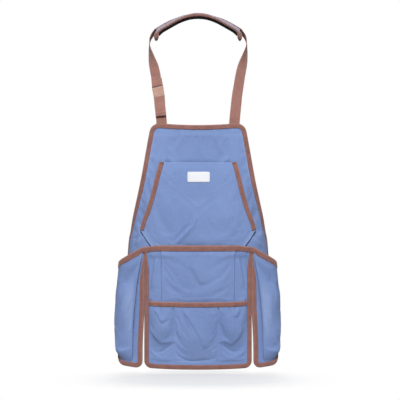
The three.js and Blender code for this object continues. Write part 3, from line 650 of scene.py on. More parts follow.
# how far the canvas stands off its plain hang
def bodyLift(s, z):
    fromSide, fromTop = flatHalf(z) - bodyMake["tapeEdge"] - np.abs(s), topRow - bodyMake["tapeEdge"] - z
    besideStrap = np.maximum(0, np.abs(np.abs(s) - strapAt) - bodyMake["strapHalf"])
    strap = bump(besideStrap / 2.6) * smooth((z - bodyMake["strapFoot"]) / 5)
    lift = bodyMake["strapRidge"] * strap * smooth(fromTop / 8)
    lift = lift - bodyMake["facingDip"] * bump((z - bodyMake["facingRow"] + topDip(s)) / 1.6)
    inside = smooth(fromSide / 16) * smooth((topRow - 14 - z) / 12)
    free = smooth((z - waistRow + 20) / 40)
    uneven = bodyMake["uneven"] * unevenness(s, z, 120, 3)
    lift = lift + inside * free * (foldLift(s, z, bodyMake["folds"]) + uneven)
    # the canvas gives way behind the mouth of the bib pocket
    mouth = smooth((bodyMake["mouthTop"] - z) / 6) * smooth((z - bodyMake["mouthFoot"]) / 24)
    lift = lift - bodyMake["mouthDip"] * (mouth * smooth((bodyMake["mouthHalf"] - np.abs(s)) / 5))
    pucker = waver(s, 21, 8) * bump(fromTop / 14) + waver(z, 24, 9) * bump(fromSide / 12)
    return lift + bodyMake["pucker"] * pucker * free


def makeBody():
    bib, skirt = np.linspace(0, 1, bodyMake["bibRows"]), np.linspace(1.008, 2, bodyMake["skirtRows"])
    rows = np.concatenate([bib, skirt])
    flap = np.linspace(0, 1, bodyMake["flapColumns"])
    middle = np.linspace(-centreEdge, centreEdge, bodyMake["centreColumns"])
    side = np.concatenate([-np.ones(len(flap)), np.zeros(len(middle)), np.ones(len(flap))])
    place = np.concatenate([flap[::-1], middle, flap])
    row, column = np.meshgrid(rows, np.arange(len(place)), indexing="ij")
    s, z = bodyFlat(row, side[column], place[column])
    lift = bodyLift(s, z)
    keep = np.ones((len(rows) - 1, len(place) - 1), bool)
    for slit in (len(flap) - 1, len(flap) + len(middle) - 1):
        keep[bodyMake["bibRows"]:, slit] = False
    edge = bump((flatHalf(z) - np.abs(s) - 11) / 3) * (z > waistRow)
    wearAndHighlight = bodyMake["edgeWearAndHighlight"] * edge + bodyMake["facingWorn"] * bump((z - bodyMake["facingRow"]) / 2)
    held = np.maximum.reduce([
        smooth((np.abs(s) - flatHalf(z) + 16) / 6), smooth((z - topRow + 18) / 6),
        1 - smooth((z - bodyMake["waistSeam"]) / 20), bump((z - bodyMake["facingRow"]) / 3),
        (np.abs(np.abs(s) - strapAt) < 15) * (z > bodyMake["strapFoot"]),
    ])
    middle = settle("apronBody", hang(s, z, canvas / 2 + lift), held, **bodyMake["settle"])
    return clothRound("apronBody", middle, np.stack([s, z], -1), blueCanvas, keep, wearAndHighlight)


apronBody = makeBody()
print("apron body made")


# binding tape folded over an edge

tapeMake = {
    "thick": 1.0, "lap": 10.0, "room": 0.45, "edgeRoom": 0.8, "edgeRound": 1.35, "plump": 0.95, "step": 4.5,
    "lapWaver": 0.3, "faceWaver": 0.12, "stitchIn": 1.9, "stitchRise": 1.2, "stitchLift": 0.06,
    # share of the lap and rise, from the sewn edge to the fold; then the turns round the fold
    "face": [(1.0, 0.0), (1.0, 0.7), (0.95, 1.0), (0.75, 1.25), (0.45, 1.35), (0.15, 1.2)],
    "turns": [0.3, 0.62, 1.0, 1.38, 1.7], "worn": 0.45,
}
tapeStitches = []


# tape round the edge of layers that lie between the levels low and high
def foldedTape(name, edge, inner, low, high, lap=None, seed=1):
    lap = np.full(len(edge), tapeMake["lap"]) if lap is None else lap
    packed = evenly(np.concatenate([edge, inner, lap[:, None]], 1), tapeMake["step"])
    edge, inner, lap = packed[:, :3], packed[:, 3:6], packed[:, 6]
    run = unit(np.gradient(edge, axis=0))
    inward = unit(inner - edge)
    normal = unit(np.cross(run, inward))
    if normal[0][1] > 0:
        normal = -normal
    gone = lengthAlong(edge)
    lap = lap + tapeMake["lapWaver"] * waver(gone, 34, seed)
    thick, room, edgeRoom, plump = (tapeMake[key] for key in ("thick", "room", "edgeRoom", "plump"))
    wave = tapeMake["faceWaver"] * waver(gone, 17, seed + 5)
    front, back = high + room, low - room
    half, centre = (front - back) / 2 + thick, (front + back) / 2
    section = []
    for share, rise in tapeMake["face"]:
        section.append((lap * share, front + thick * rise * plump + wave * rise))
    for turn in tapeMake["turns"]:
        angle = turn * math.pi / 2
        past = -edgeRoom - tapeMake["edgeRound"] * math.sin(angle)
        section.append((np.full(len(edge), past), centre + half * math.cos(angle) + 0 * lap))
    for share, rise in tapeMake["face"][::-1]:
        section.append((lap * share, back - thick * rise * plump - wave * rise))
    section += [(0 * lap - edgeRoom, back + 0 * lap), (0 * lap - edgeRoom, front + 0 * lap)]
    rings = np.stack([edge + inward * e[:, None] + normal * n[:, None] for e, n in section], 1)
    flat = np.stack([lengthAcross(rings), np.repeat(gone[:, None], len(section), 1)], -1)
    wearAndHighlight = np.zeros(rings.shape[:2])
    foldFrom = len(tapeMake["face"])
    wearAndHighlight[:, foldFrom:foldFrom + len(tapeMake["turns"])] = tapeMake["worn"]
    sewn = edge + inward * (lap - tapeMake["stitchIn"])[:, None]
    for sign, face in ((1, front), (-1, back)):
        level = face + sign * thick * tapeMake["stitchRise"] + sign * tapeMake["stitchLift"]
        tapeStitches.extend(stitchRow(sewn + normal * level, normal * sign))
    return sweptPiece(name, rings, brownTape, flat, wearAndHighlight=wearAndHighlight)


# unit directions into the cloth, square to a line in the flat
def inwardOf(flat, turn):
    run = unit(np.gradient(flat, axis=0))
    return np.stack([turn * run[:, 1], -turn * run[:, 0]], -1)


def hangTape(name, flat, turn, low, high, lap=None, seed=1):
    inward = inwardOf(flat, turn)
    reach = tapeMake["lap"]
    edge = hang(flat[:, 0], flat[:, 1], 0)
    inner = hang(flat[:, 0] + inward[:, 0] * reach, flat[:, 1] + inward[:, 1] * reach, 0)
    return foldedTape(name, edge, inner, low, high, lap, seed)


bibTapeMake = {"foot": -641, "top": -304, "points": 110, "corner": 0.8, "fine": 2.5}


def makeBibBinding():
    shares = np.linspace(1, 0, bibTapeMake["points"])
    sideZ = mix(bibTapeMake["foot"], bibTapeMake["top"], 1 - shares)
    sideUp = np.stack([-flatHalf(sideZ), sideZ], -1)
    corner = bibTapeMake["corner"]
    along = np.linspace(0.01 - corner, corner - 0.01, 60)
    ratio = np.concatenate([np.linspace(-1, -corner, 24), along, np.linspace(corner, 1, 24)])
    topZ = bibTopEdge(ratio * topHalf)
    top = np.stack([ratio * flatHalf(topZ), topZ], -1)
    flat = evenly(np.concatenate([sideUp, top, sideUp[::-1] * np.array([-1, 1])]), bibTapeMake["fine"])
    return hangTape("bibBinding", flat, 1, 0, canvas, seed=11)


bibBinding = makeBibBinding()
print("bib binding made")


# bib pocket

labelMake = {
    "x": 1.5, "z": -414.5, "wide": 56, "tall": 26, "corner": 3.5, "thick": 0.7, "columns": 40, "rows": 22,
    "puff": 0.35, "uneven": 0.12, "stitchIn": 1.6,
}

bibPocketMake = {
    "heights": [-378, -400, -422, -460, -497, -527, -547, -570, -590, -600],
    "half": [95, 101, 106, 115, 126, 138, 144, 129, 114, 106],
    "lift": [0, 2.6, 3.8, 4.2, 4.1, 3.5, 2.7, 1.5, 0, -0.8],
    "level": 3, "corner": -547, "foldFrom": -548, "footSeam": -598, "rows": 92, "columns": 104,
    "flatten": 0.25, "flattenHalf": 150, "edgeWearAndHighlight": 0.9, "topWearAndHighlight": 0.22, "veeHeld": 0.7, "labelRoom": 2,
    "veeTop": (86, -430), "veeFoot": (0, -502), "veeGap": 4.5, "topRows": (4, 9),
    "seamDip": 0.9, "topDip": 0.6, "pucker": 0.25, "middle": 0.6, "uneven": 0.5, "foldedEdge": 1.8,
    "settle": {"swell": 0.003, "weight": 0.1, "push": 0.01, "reach": 2.0},
    "folds": [
        {
            "line": [(-6, -502), (-15, -536), (-40, -561), (-58, -584)],
            "tall": 3.2, "wide": 7.5, "steep": 0.4, "dip": 0.6,
        },
        {"line": [(60, -470), (40, -500), (34, -540)], "tall": 1.0, "wide": 16, "steep": 0.8},
        {"line": [(-90, -470), (-70, -510), (-62, -545)], "tall": 1.2, "wide": 16, "steep": 0.8},
        {"line": [(96, -530), (70, -556), (40, -580)], "tall": 1.0, "wide": 14, "steep": 0.8},
    ],
}
pocketTop, pocketFoot = bibPocketMake["heights"][0], bibPocketMake["heights"][-1]
slantRows = bibPocketMake["heights"].index(bibPocketMake["corner"]) + 1
pocketSide = throughPoints(bibPocketMake["heights"][:slantRows], bibPocketMake["half"][:slantRows])
pocketLift = throughPoints(bibPocketMake["heights"], bibPocketMake["lift"])


def pocketHalf(z):
    low = np.interp(-z, [-v for v in bibPocketMake["heights"]], bibPocketMake["half"])
    return np.where(z > bibPocketMake["corner"], pocketSide(z), low)


def veeDistance(s, z):
    (topS, topZ), (footS, footZ) = bibPocketMake["veeTop"], bibPocketMake["veeFoot"]
    return lineDistance(np.abs(s), z, [(topS, topZ), (footS, footZ)])[0]


# level of the pocket's back before its folds, and of the tape on its slanted sides
def pocketPlain(s, z):
    flatten = bibPocketMake["flatten"] * (s / bibPocketMake["flattenHalf"]) ** 2
    return bibPocketMake["level"] + pocketLift(z) * (1 - flatten)


def bibPocketLevel(s, z):
    level = pocketPlain(s, z) + bibPocketMake["middle"] * np.maximum(0, pocketLift(z)) * bump(s / 40)
    half = pocketHalf(z)
    inside = smooth((half - 11 - np.abs(s)) / 14) * smooth((pocketTop - 6 - z) / 20)
    inside = inside * smooth((z - bibPocketMake["footSeam"]) / 10)
    uneven = bibPocketMake["uneven"] * unevenness(s, z, 90, 21)
    level = level + inside * (foldLift(s, z, bibPocketMake["folds"]) + uneven)
    vee = np.abs(veeDistance(s, z))
    seams = bump((vee - 1) / 1.2) + bump((vee - bibPocketMake["veeGap"] - 1) / 1.2)
    topSeam = sum(bump((pocketTop - drop - z) / 1.3) for drop in bibPocketMake["topRows"])
    level = level - bibPocketMake["seamDip"] * seams * smooth((half - 12 - np.abs(s)) / 8)
    level = level - bibPocketMake["topDip"] * topSeam
    return level + bibPocketMake["pucker"] * waver(s, 17, 5) * bump((pocketTop - 12 - z) / 9)


def makeBibPocket():
    heights = np.linspace(pocketTop, pocketFoot, bibPocketMake["rows"])
    corner, foldFrom = bibPocketMake["corner"], bibPocketMake["foldFrom"]
    heights = np.sort(np.append(heights, [corner, corner + 0.5]))[::-1]
    shares = np.linspace(-1, 1, bibPocketMake["columns"])
    z, share = np.meshgrid(heights, shares, indexing="ij")
    s = share * pocketHalf(z)
    level = bibPocketLevel(s, z)
    toEdge = pocketHalf(z) - np.abs(s)
    foldedEdge = bump(toEdge / 5) * (z < foldFrom) * smooth((z - pocketFoot + 3) / 12)
    # paler along the folded slanted edges and the top edge: wear and painted highlight where the edges catch
    # the light
    wearAndHighlight = bibPocketMake["edgeWearAndHighlight"] * bump(toEdge / 2.6) * (z < foldFrom)
    wearAndHighlight = wearAndHighlight + bibPocketMake["topWearAndHighlight"] * bump((pocketTop - z) / 2)
    vee, veeHeld = np.abs(veeDistance(s, z)) - bibPocketMake["veeGap"] / 2, bibPocketMake["veeHeld"]
    besideS = np.abs(s - labelMake["x"]) - labelMake["wide"] / 2
    besideZ = np.abs(z - labelMake["z"]) - labelMake["tall"] / 2
    beside = np.maximum(besideS, besideZ) - bibPocketMake["labelRoom"]
    held = np.maximum.reduce([
        smooth((np.abs(s) - pocketHalf(z) + 15) / 6), smooth((z - pocketTop + 14) / 5),
        1 - smooth((z - bibPocketMake["footSeam"]) / 12),
        veeHeld - veeHeld * smooth((vee - 1.5) / 12), 1 - smooth(beside / 40),
    ])
    middle = settle("bibPocket", hang(s, z, level + canvas / 2), held, **bibPocketMake["settle"])
    extra = bibPocketMake["foldedEdge"] * foldedEdge
    return clothRound("bibPocket", middle, np.stack([s, z], -1), blueCanvas, None, wearAndHighlight, extra)


def pocketTape(side):
    z = np.linspace(pocketTop + 1.5, bibPocketMake["corner"], 70)
    flat = np.stack([side * pocketHalf(z), z], -1)
    edge, inner = flat.T, (flat + inwardOf(flat, side) * tapeMake["lap"]).T
    edge, inner = (hang(s, z, pocketPlain(s, z)) for s, z in (edge, inner))
    return foldedTape("bibPocketBinding" + handOf[side], edge, inner, 0, canvas, seed=30 + side)


bibPocket = makeBibPocket()
bibPocketBindings = {side: pocketTape(side) for side in (-1, 1)}
print("bib pocket made")


# plain label, sewn flat on the bib pocket
def makeLabel():
    across, down = np.linspace(-1, 1, labelMake["columns"]), np.linspace(1, -1, labelMake["rows"])
    v, u = np.meshgrid(down, across, indexing="ij")
    halfWide, halfTall, corner = labelMake["wide"] / 2, labelMake["tall"] / 2, labelMake["corner"]
    cut = roundedBy(np.abs(v) * halfTall - halfTall + corner, corner)
    s = labelMake["x"] + u * (halfWide - cut)
    z = labelMake["z"] + v * halfTall
    edge = np.maximum(np.abs(u), np.abs(v))
    puff = labelMake["puff"] * (1 - smooth((edge - 0.7) / 0.3))
    puff = puff + labelMake["uneven"] * unevenness(s, z, 24, 77)
    thick = labelMake["thick"]
    middle = hang(s, z, bibPocketLevel(s, z) + canvas + seam + thick / 2)
    return clothRound("plainLabel", middle, np.stack([s, z], -1), labelCloth, extra=puff, thick=thick)


label = makeLabel()


# pockets of the centre panel

centreMake = {
    "top": -587, "bow": 8.6, "pleatAt": 90, "pleatStep": 4.8, "pleatLip": 0.3, "pleatRoom": 8,
    "pleatColumns": 15, "pleatWearAndHighlight": 0.35, "endDrop": 4, "endFrom": 96, "endOver": 36, "tapeColumns": 160,
    "rows": 118, "columns": 100, "margin": 11, "uneven": 0.45, "pucker": 0.3,
    "rest": 1.5, "restTop": 1.9, "restFrom": -620, "free": -722, "foot": -726, "sewnFrom": -740,
    "settle": {"swell": 0.002, "weight": 0.1, "push": 0.01, "reach": 2.0},
    "lowerTop": -725, "lowerSag": 3, "lowerLift": 2.4, "tapeEnd": 119.5, "lowerRows": 82, "lowerColumns": 128,
    "lowerMargin": 12, "lowerFoot": -880, "lowerUneven": 0.5, "lowerPucker": 0.35, "lowest": -0.2,
    "lowerSeams": (-60.5, 50.5),
    "lowerSettle": {"swell": 0.006, "weight": 0.15, "push": 0.04, "reach": 2.5},
    "bags": [
        {"from": -122, "to": -58, "depth": 12, "sag": -812},
        {"from": -58, "to": 52, "depth": 6.5, "sag": -838},
        {"from": 52, "to": 122, "depth": 12, "sag": -812},
    ],
    "frontFolds": [
        {
            "line": [(-104, -612), (-110, -650), (-118, -702)],
            "tall": 3.6, "wide": 6, "steep": 0.35, "dip": 1.0,
        },
        {"line": [(116, -698), (108, -650), (100, -612)], "tall": 3.6, "wide": 6, "steep": 0.35, "dip": 1.0},
        {"line": [(-16, -630), (0, -655), (14, -687)], "tall": 1.6, "wide": 10, "steep": 0.6},
        {"line": [(-60, -700), (-50, -660), (-46, -625)], "tall": 1.1, "wide": 14, "steep": 0.9},
        {"line": [(46, -625), (54, -665), (52, -705)], "tall": 1.1, "wide": 14, "steep": 0.9},
    ],
    "lowerFolds": [
        {"line": [(-109, -740), (-98, -757), (-86, -780)], "tall": 2.6, "wide": 8, "steep": 0.45, "dip": 0.6},
        {
            "line": [(-120, -790), (-111, -807), (-92, -829), (-70, -825), (-48, -824)],
            "tall": 1.9, "wide": 9, "steep": 0.45, "dip": 0.7,
        },
        {"line": [(-54, -762), (-52, -798), (-45, -819)], "tall": 2.2, "wide": 7, "steep": 0.5, "dip": 0.6},
        {
            "line": [(-42, -743), (-22, -766), (-6, -789), (5, -812), (14, -837), (23, -857)],
            "tall": 2.1, "wide": 9, "steep": 0.4, "dip": 0.6,
        },
        {"line": [(28, -832), (44, -800), (48, -757)], "tall": 1.5, "wide": 8, "steep": 0.5, "dip": 0.6},
        {"line": [(91, -765), (97, -750), (102, -736)], "tall": 2.6, "wide": 8, "steep": 0.5, "dip": 0.5},
        {
            "line": [(44, -829), (66, -823), (84, -832), (102, -812), (110, -790)],
            "tall": 1.9, "wide": 9, "steep": 0.45, "dip": 0.7,
        },
        {"line": [(-120, -846), (-110, -857), (-100, -864)], "tall": 1.3, "wide": 6, "steep": 0.6},
        {"line": [(102, -862), (112, -854), (121, -846)], "tall": 1.3, "wide": 6, "steep": 0.6},
        {"line": [(34, -846), (37, -858), (37, -869)], "tall": 1, "wide": 5, "steep": 0.6},
    ],
}
frontTop, lowerTop = centreMake["top"], centreMake["lowerTop"]


def frontTopEdge(s):
    toEnd = smooth((np.abs(s) - centreMake["endFrom"]) / centreMake["endOver"])
    return frontTop - centreMake["endDrop"] * toEnd


# level of the front pocket's back: a bow that the pleats let out at the top
def frontLevel(s, z):
    down = np.clip((frontTop - z) / (frontTop - bodyShape["hemMiddle"] + 10), 0, 1)
    reach = mix(centreEdge, centreEdge - centreMake["margin"], smooth((frontTop - z) / 17))
    across = np.maximum(0, 1 - (s / reach) ** 2) ** 0.6
    rest = centreMake["rest"] + centreMake["restTop"] * smooth((z - centreMake["restFrom"]) / 14)
    pleat = centreMake["pleatStep"] * smooth((centreMake["pleatAt"] + 2 - np.abs(s)) / 4)
    pleat = pleat * (1 - smooth((down - 0.35) / 0.5))
    pleat = pleat * mix(0.35, 1, smooth((frontTop - 10 - z) / 14))
    return rest + (centreMake["bow"] * across + pleat) * (1 - down) ** 1.1


def centreInside(s, z, margin, foot):
    return smooth((centreEdge - margin - np.abs(s)) / 12) * smooth((z - foot) / 14)


def makeFrontPocket():
    at, room = centreMake["pleatAt"], centreMake["pleatRoom"]
    near = np.linspace(at - room / 2, at + room / 2, centreMake["pleatColumns"])
    even = np.linspace(-centreEdge, centreEdge, centreMake["columns"])
    columns = np.sort(np.concatenate([even[np.abs(np.abs(even) - at) > room / 2 + 0.6], near, -near]))
    rows = np.linspace(0, 1, centreMake["rows"])
    row, c = np.meshgrid(rows, columns, indexing="ij")
    z = mix(frontTopEdge(c), centreBottom(c), row)
    apart = smooth((z - centreMake["free"]) / 40)
    swing = np.where(np.abs(np.abs(c) - at) < room / 2, np.sin(2 * math.pi * (np.abs(c) - at) / room), 0)
    s = c - np.sign(c) * centreMake["pleatLip"] * swing * apart * smooth((frontTop - 8 - z) / 14)
    inside = centreInside(c, z, centreMake["margin"], centreMake["foot"]) * smooth((frontTop - 10 - z) / 16)
    uneven = centreMake["uneven"] * unevenness(c, z, 100, 41)
    lift = inside * (foldLift(c, z, centreMake["frontFolds"]) + uneven)
    pucker = centreMake["pucker"] * waver(c, 19, 17) * bump((frontTop - 14 - z) / 10)
    lift = lift + pucker * smooth((centreEdge - 12 - np.abs(c)) / 10)
    level = frontLevel(c, z) + lift
    flat = np.stack([c, z], -1)
    # the pleats' fold edges paler: wear and painted highlight
    wearAndHighlight = centreMake["pleatWearAndHighlight"] * bump((np.abs(c) - at + 1) / 1.2) * apart
    held = np.maximum.reduce([
        smooth((np.abs(c) - centreEdge + 16) / 6), smooth((z - frontTop + 16) / 6),
        1 - smooth((z - centreMake["sewnFrom"]) / 25), 1 - smooth((np.abs(np.abs(c) - at) - room / 2) / 6),
    ])
    middle = settle("frontPocket", hang(s, z, level + canvas / 2), held, **centreMake["settle"])
    return clothRound("frontPocket", middle, flat, blueCanvas, None, wearAndHighlight)


def lowerTopEdge(s):
    return lowerTop - centreMake["lowerSag"] * (1 - (s / centreEdge) ** 2)


def lowerLevel(s, z):
    margin = smooth((centreEdge - 10.2 - np.abs(s)) / 2.6)
    opening = centreMake["lowerLift"] * margin * smooth((z - lowerTop + 60) / 40)
    level = frontLevel(s, z) + canvas + seam + opening
    for bag in centreMake["bags"]:
        share = np.clip((s - bag["from"]) / (bag["to"] - bag["from"]), 0, 1)
        across = np.sin(math.pi * share) ** 0.8
        opened = 0.55 + 0.45 * smooth((lowerTop - z) / 60)
        foot = 1 - smooth((bag["sag"] + 26 - z) / 64)
        level = level + bag["depth"] * across * opened * foot
    return level


def lowerLift(s, z):
    inside = centreInside(s, z, centreMake["lowerMargin"], centreMake["lowerFoot"])
    inside = inside * smooth((lowerTop - 12 - z) / 14)
    uneven = centreMake["lowerUneven"] * unevenness(s, z, 70, 51)
    lift = inside * (foldLift(s, z, centreMake["lowerFolds"]) + uneven)
    pucker = centreMake["lowerPucker"] * waver(s, 15, 19) * bump((lowerTop - 15 - z) / 9)
    return np.maximum(centreMake["lowest"], lift + pucker * smooth((centreEdge - 14 - np.abs(s)) / 10))


def makeLowerPocket():
    columns = np.linspace(-centreEdge, centreEdge, centreMake["lowerColumns"])
    row, s = np.meshgrid(np.linspace(0, 1, centreMake["lowerRows"]), columns, indexing="ij")
    z = mix(lowerTopEdge(s), centreBottom(s), row)
    level = lowerLevel(s, z) + lowerLift(s, z)
    seams = np.minimum.reduce([np.abs(s - place) for place in centreMake["lowerSeams"]])
    held = np.maximum.reduce([
        smooth((np.abs(s) - centreEdge + 16) / 6), smooth((z - lowerTopEdge(s) + 14) / 5),
        1 - smooth((z - centreBottom(s) - 12) / 8), 1 - smooth((seams - 1.5) / 3),
    ])
    middle = settle("lowerPocket", hang(s, z, level + canvas / 2), held, **centreMake["lowerSettle"])
    return clothRound("lowerPocket", middle, np.stack([s, z], -1), blueCanvas)


frontPocket = makeFrontPocket()
lowerPocket = makeLowerPocket()


def makeLowerBinding():
    s = np.linspace(-centreMake["tapeEnd"], centreMake["tapeEnd"], centreMake["tapeColumns"])
    z = lowerTopEdge(s)
    edge = hang(s, z, lowerLevel(s, z))
    inner = hang(s, z - tapeMake["lap"], lowerLevel(s, z - tapeMake["lap"]))
    return foldedTape("lowerPocketBinding", edge, inner, 0, canvas, seed=52)


centreTapeMake = {"top": -601, "foot": -874, "points": 92, "narrow": 4.5, "widen": 46, "fine": 2.5}


def makeCentreBinding():
    z = np.linspace(centreTapeMake["top"], centreTapeMake["foot"], centreTapeMake["points"])
    left = np.stack([np.full(len(z), -centreEdge), z], -1)
    corner = bodyShape["hemCorner"]
    s = np.concatenate([
        np.linspace(-centreEdge, corner - centreEdge, 26),
        np.linspace(corner + 2 - centreEdge, centreEdge - corner - 2, 90),
        np.linspace(centreEdge - corner, centreEdge, 26),
    ])
    foot = np.stack([s, centreBottom(s)], -1)
    flat = evenly(np.concatenate([left, foot, left[::-1] * np.array([-1, 1])]), centreTapeMake["fine"])
    gone = lengthAlong(flat)
    toEnd = np.minimum(gone, gone[-1] - gone)
    lap = mix(centreTapeMake["narrow"], tapeMake["lap"], smooth(toEnd / centreTapeMake["widen"]))
    return hangTape("centreBinding", flat, -1, 0, 3 * canvas + 2 * seam, lap, seed=61)


lowerPocketBinding = makeLowerBinding()
centreBinding = makeCentreBinding()
print("centre pockets made")


# side pockets: a margin, a pleat folded over itself, a full face and an outer seam

# share gives where each line of the pocket lies across the flap, rise how far off it,
# both at the shares of the way down that down lists; full is how far each side fills out
sideMake = {
    "down": [0, 0.07, 0.16, 0.33, 0.6, 0.86, 0.92, 0.962, 1], "full": {-1: 1.0, 1: 0.93},
    "share": {
        "margin": [0.03, 0.035, 0.06, 0.13, 0.16, 0.16, 0.16, 0.16, 0.16],
        "valley": [0.05, 0.1, 0.23, 0.37, 0.45, 0.43, 0.39, 0.3, 0.3],
        "fold": [0.06, 0.07, 0.13, 0.23, 0.3, 0.305, 0.325, 0.37, 0.38],
        "crest": [0.6, 0.6, 0.56, 0.52, 0.5, 0.5, 0.51, 0.56, 0.58],
        "back": [0.86, 0.86, 0.86, 0.85, 0.85, 0.83, 0.8, 0.75, 0.72],
        "foot": [0.95, 0.95, 0.82, 0.82, 0.82, 0.82, 0.82, 0.82, 0.82],
    },
    "rise": {
        "margin": [4.4, 4.4, 1.6, 1.6, 1.6, 1.6, 1.6, 1.6, 1.6],
        "valley": [6.5, 6.5, 3, 2, 2, 2, 2, 1.8, 1.8],
        "fold": [8.5, 8.5, 7.5, 8, 9, 8, 6, 2.2, 2],
        "crest": [27, 26, 21, 28, 24, 14, 8.5, 3.2, 2],
        "back": [24, 24, 25, 27.5, 26.5, 20.5, 10.5, 2.4, 2],
        "foot": [9, 9, 2, 2, 2, 2, 2, 2, 2],
    },
    "tops": [-591, -592, -592.5, -593.5, -621, -635, -642, -646],
    "folds": [
        {
            "line": [(84, -22), (96, -34), (108, -48), (120, -66)],
            "tall": 3.2, "wide": 13, "steep": 0.55, "dip": 0.7,
        },
        {"line": [(86, -60), (92, -110), (96, -190)], "tall": 1.2, "wide": 12, "steep": 0.8},
    ],
    "flatStep": 26.0, "flatDown": 300.0, "uneven": 0.5, "end": 0.995, "lowest": 1.5,
    "seamTop": 3.4, "seamInner": 1.6, "seamOuter": 2.0, "paintedSheen": 0.5, "creaseWearAndHighlight": 0.3,
    "push": 0.3, "settle": {"swell": 0.008, "weight": 0.2, "reach": 3},
}
sideKeys = ["margin", "valley", "fold", "crest", "back", "foot"]
sideShares = [throughPoints(sideMake["down"], sideMake["share"][key]) for key in sideKeys]
sideRises = [throughPoints(sideMake["down"], sideMake["rise"][key]) for key in sideKeys]
sideTop = throughPoints(range(len(sideMake["tops"])), sideMake["tops"])


# value at a step between the eight places across the pocket
def acrossSide(columns, step):
    columns = np.stack(np.broadcast_arrays(*columns), -1)
    last = columns.shape[-1] - 1
    k = np.clip(np.floor(step).astype(int), 0, last - 1)
    t = step - k

    def pick(m):
        return np.take_along_axis(columns, np.clip(m, 0, last)[..., None], -1)[..., 0]

    def slope(m):
        return (pick(m + 1) - pick(m - 1)) / (np.clip(m + 1, 0, last) - np.clip(m - 1, 0, last))

    level = pick(k) * (1 + 2 * t) * (1 - t) ** 2 + pick(k + 1) * t * t * (3 - 2 * t)
    return level + slope(k) * t * (1 - t) ** 2 - slope(k + 1) * t * t * (1 - t)


def sidePlace(side, down, step, lift=0.0):
    down, step = (np.asarray(v, float) for v in np.broadcast_arrays(down, step))
    low = smooth((down - 0.07) / 0.07)
    shares = [0 * down, *(read(down) for read in sideShares), 0 * down + sideMake["end"]]
    innerRise = mix(sideMake["seamTop"], sideMake["seamInner"], low)
    outerRise = mix(sideMake["seamTop"], sideMake["seamOuter"], low)
    rises = [innerRise, *(read(down) for read in sideRises), outerRise]
    share, rise = acrossSide(shares, step), acrossSide(rises, step) * sideMake["full"][side]
    z = mix(sideTop(step), flapBottomAt(np.clip(share, 0, 1)), down)
    return hang(side * flapPlace(share, z), z, np.maximum(sideMake["lowest"], rise) + canvas / 2 + lift)


def sideLift(side, down, step):
    face = smooth((step - 3.0) / 0.6) * smooth((5.6 - step) / 0.9)
    face = face * smooth((down - 0.05) / 0.1) * smooth((0.9 - down) / 0.1)
    u, v = step * sideMake["flatStep"], down * sideMake["flatDown"]
    slack = foldLift(u, -v, sideMake["folds"])
    return face * (sideMake["uneven"] * unevenness(u, v, 95, 70 + side) + slack)


def makeSidePocket(side):
    downs = np.concatenate([np.linspace(0, 0.2, 26), np.linspace(0.21, 0.84, 52), np.linspace(0.85, 1, 26)])
    steps = np.concatenate([
        np.linspace(0, 1, 9), np.linspace(1.06, 3.0, 34), np.linspace(3.05, 4.9, 38),
        np.linspace(4.96, 6, 20), np.linspace(6.1, 7, 8),
    ])
    down, step = np.meshgrid(downs, steps, indexing="ij")
    middle = sidePlace(side, down, step, sideLift(side, down, step))
    held = np.maximum.reduce([
        1 - smooth((step - 1.0) / 0.5), smooth((step - 5.3) / 0.6),
        1 - smooth((down - 0.06) / 0.08), smooth((down - 0.8) / 0.15),
        0.96 * smooth((step - 1.4) / 0.4) * smooth((3.5 - step) / 0.5),
    ])
    name = "sidePocket" + handOf[side]
    middle = settle(name, middle, held, push=-side * sideMake["push"], **sideMake["settle"])
    flat = np.stack([lengthAcross(middle), middle[..., 2]], -1)
    # a paler band on the face beside the pleat: painted sheen
    paintedSheen = bump((step - 3.45) / 0.45) * smooth((down - 0.2) / 0.2) * smooth((0.9 - down) / 0.4)
    # the pleat's fold edge paler: wear and a painted highlight
    crease = bump((step - 3) / 0.06) * smooth((0.93 - down) / 0.1)
    wearAndHighlight = sideMake["creaseWearAndHighlight"] * crease + sideMake["paintedSheen"] * paintedSheen
    return clothRound(name, middle, flat, blueCanvas, None, wearAndHighlight)


sideTapeMake = {
    "outerTop": -680, "outerFoot": -858, "innerTop": -602, "innerFoot": -872,
    "narrow": 1.6, "widen": 74, "end": 8, "room": 0.5, "fine": 2.5,
}


def makeSideBinding(side):
    outerZ = np.linspace(sideTapeMake["outerTop"], sideTapeMake["outerFoot"], 66)
    outer = np.stack([side * flatHalf(outerZ), outerZ], -1)
    shares = np.concatenate([np.linspace(1, 0.8, 30), np.linspace(0.78, 0.16, 40), np.linspace(0.15, 0, 30)])
    footZ = flapBottomAt(shares)
    foot = np.stack([side * flapPlace(shares, footZ), footZ], -1)
    innerZ = np.linspace(sideTapeMake["innerFoot"], sideTapeMake["innerTop"], 96)
    inner = np.stack([side * sideEdge(innerZ), innerZ], -1)
    outer = outer[outer[:, 1] > foot[0, 1] + 1]
    inner = inner[inner[:, 1] > foot[-1, 1] + 1]
    flat = evenly(np.concatenate([outer, foot, inner]), sideTapeMake["fine"])
    gone = lengthAlong(flat)
    toEnd = gone[-1] - gone - sideTapeMake["end"]
    lap = mix(sideTapeMake["narrow"], tapeMake["lap"], smooth(toEnd / sideTapeMake["widen"]))
    high = 2 * canvas + seam + sideTapeMake["room"]
    return hangTape("sideBinding" + handOf[side], flat, side, 0, high, lap, seed=80 + side)


waistTapeMake = {"lap": 12.5, "drop": 10, "sideDrop": 0.07, "fine": 2.0, "ease": 9}


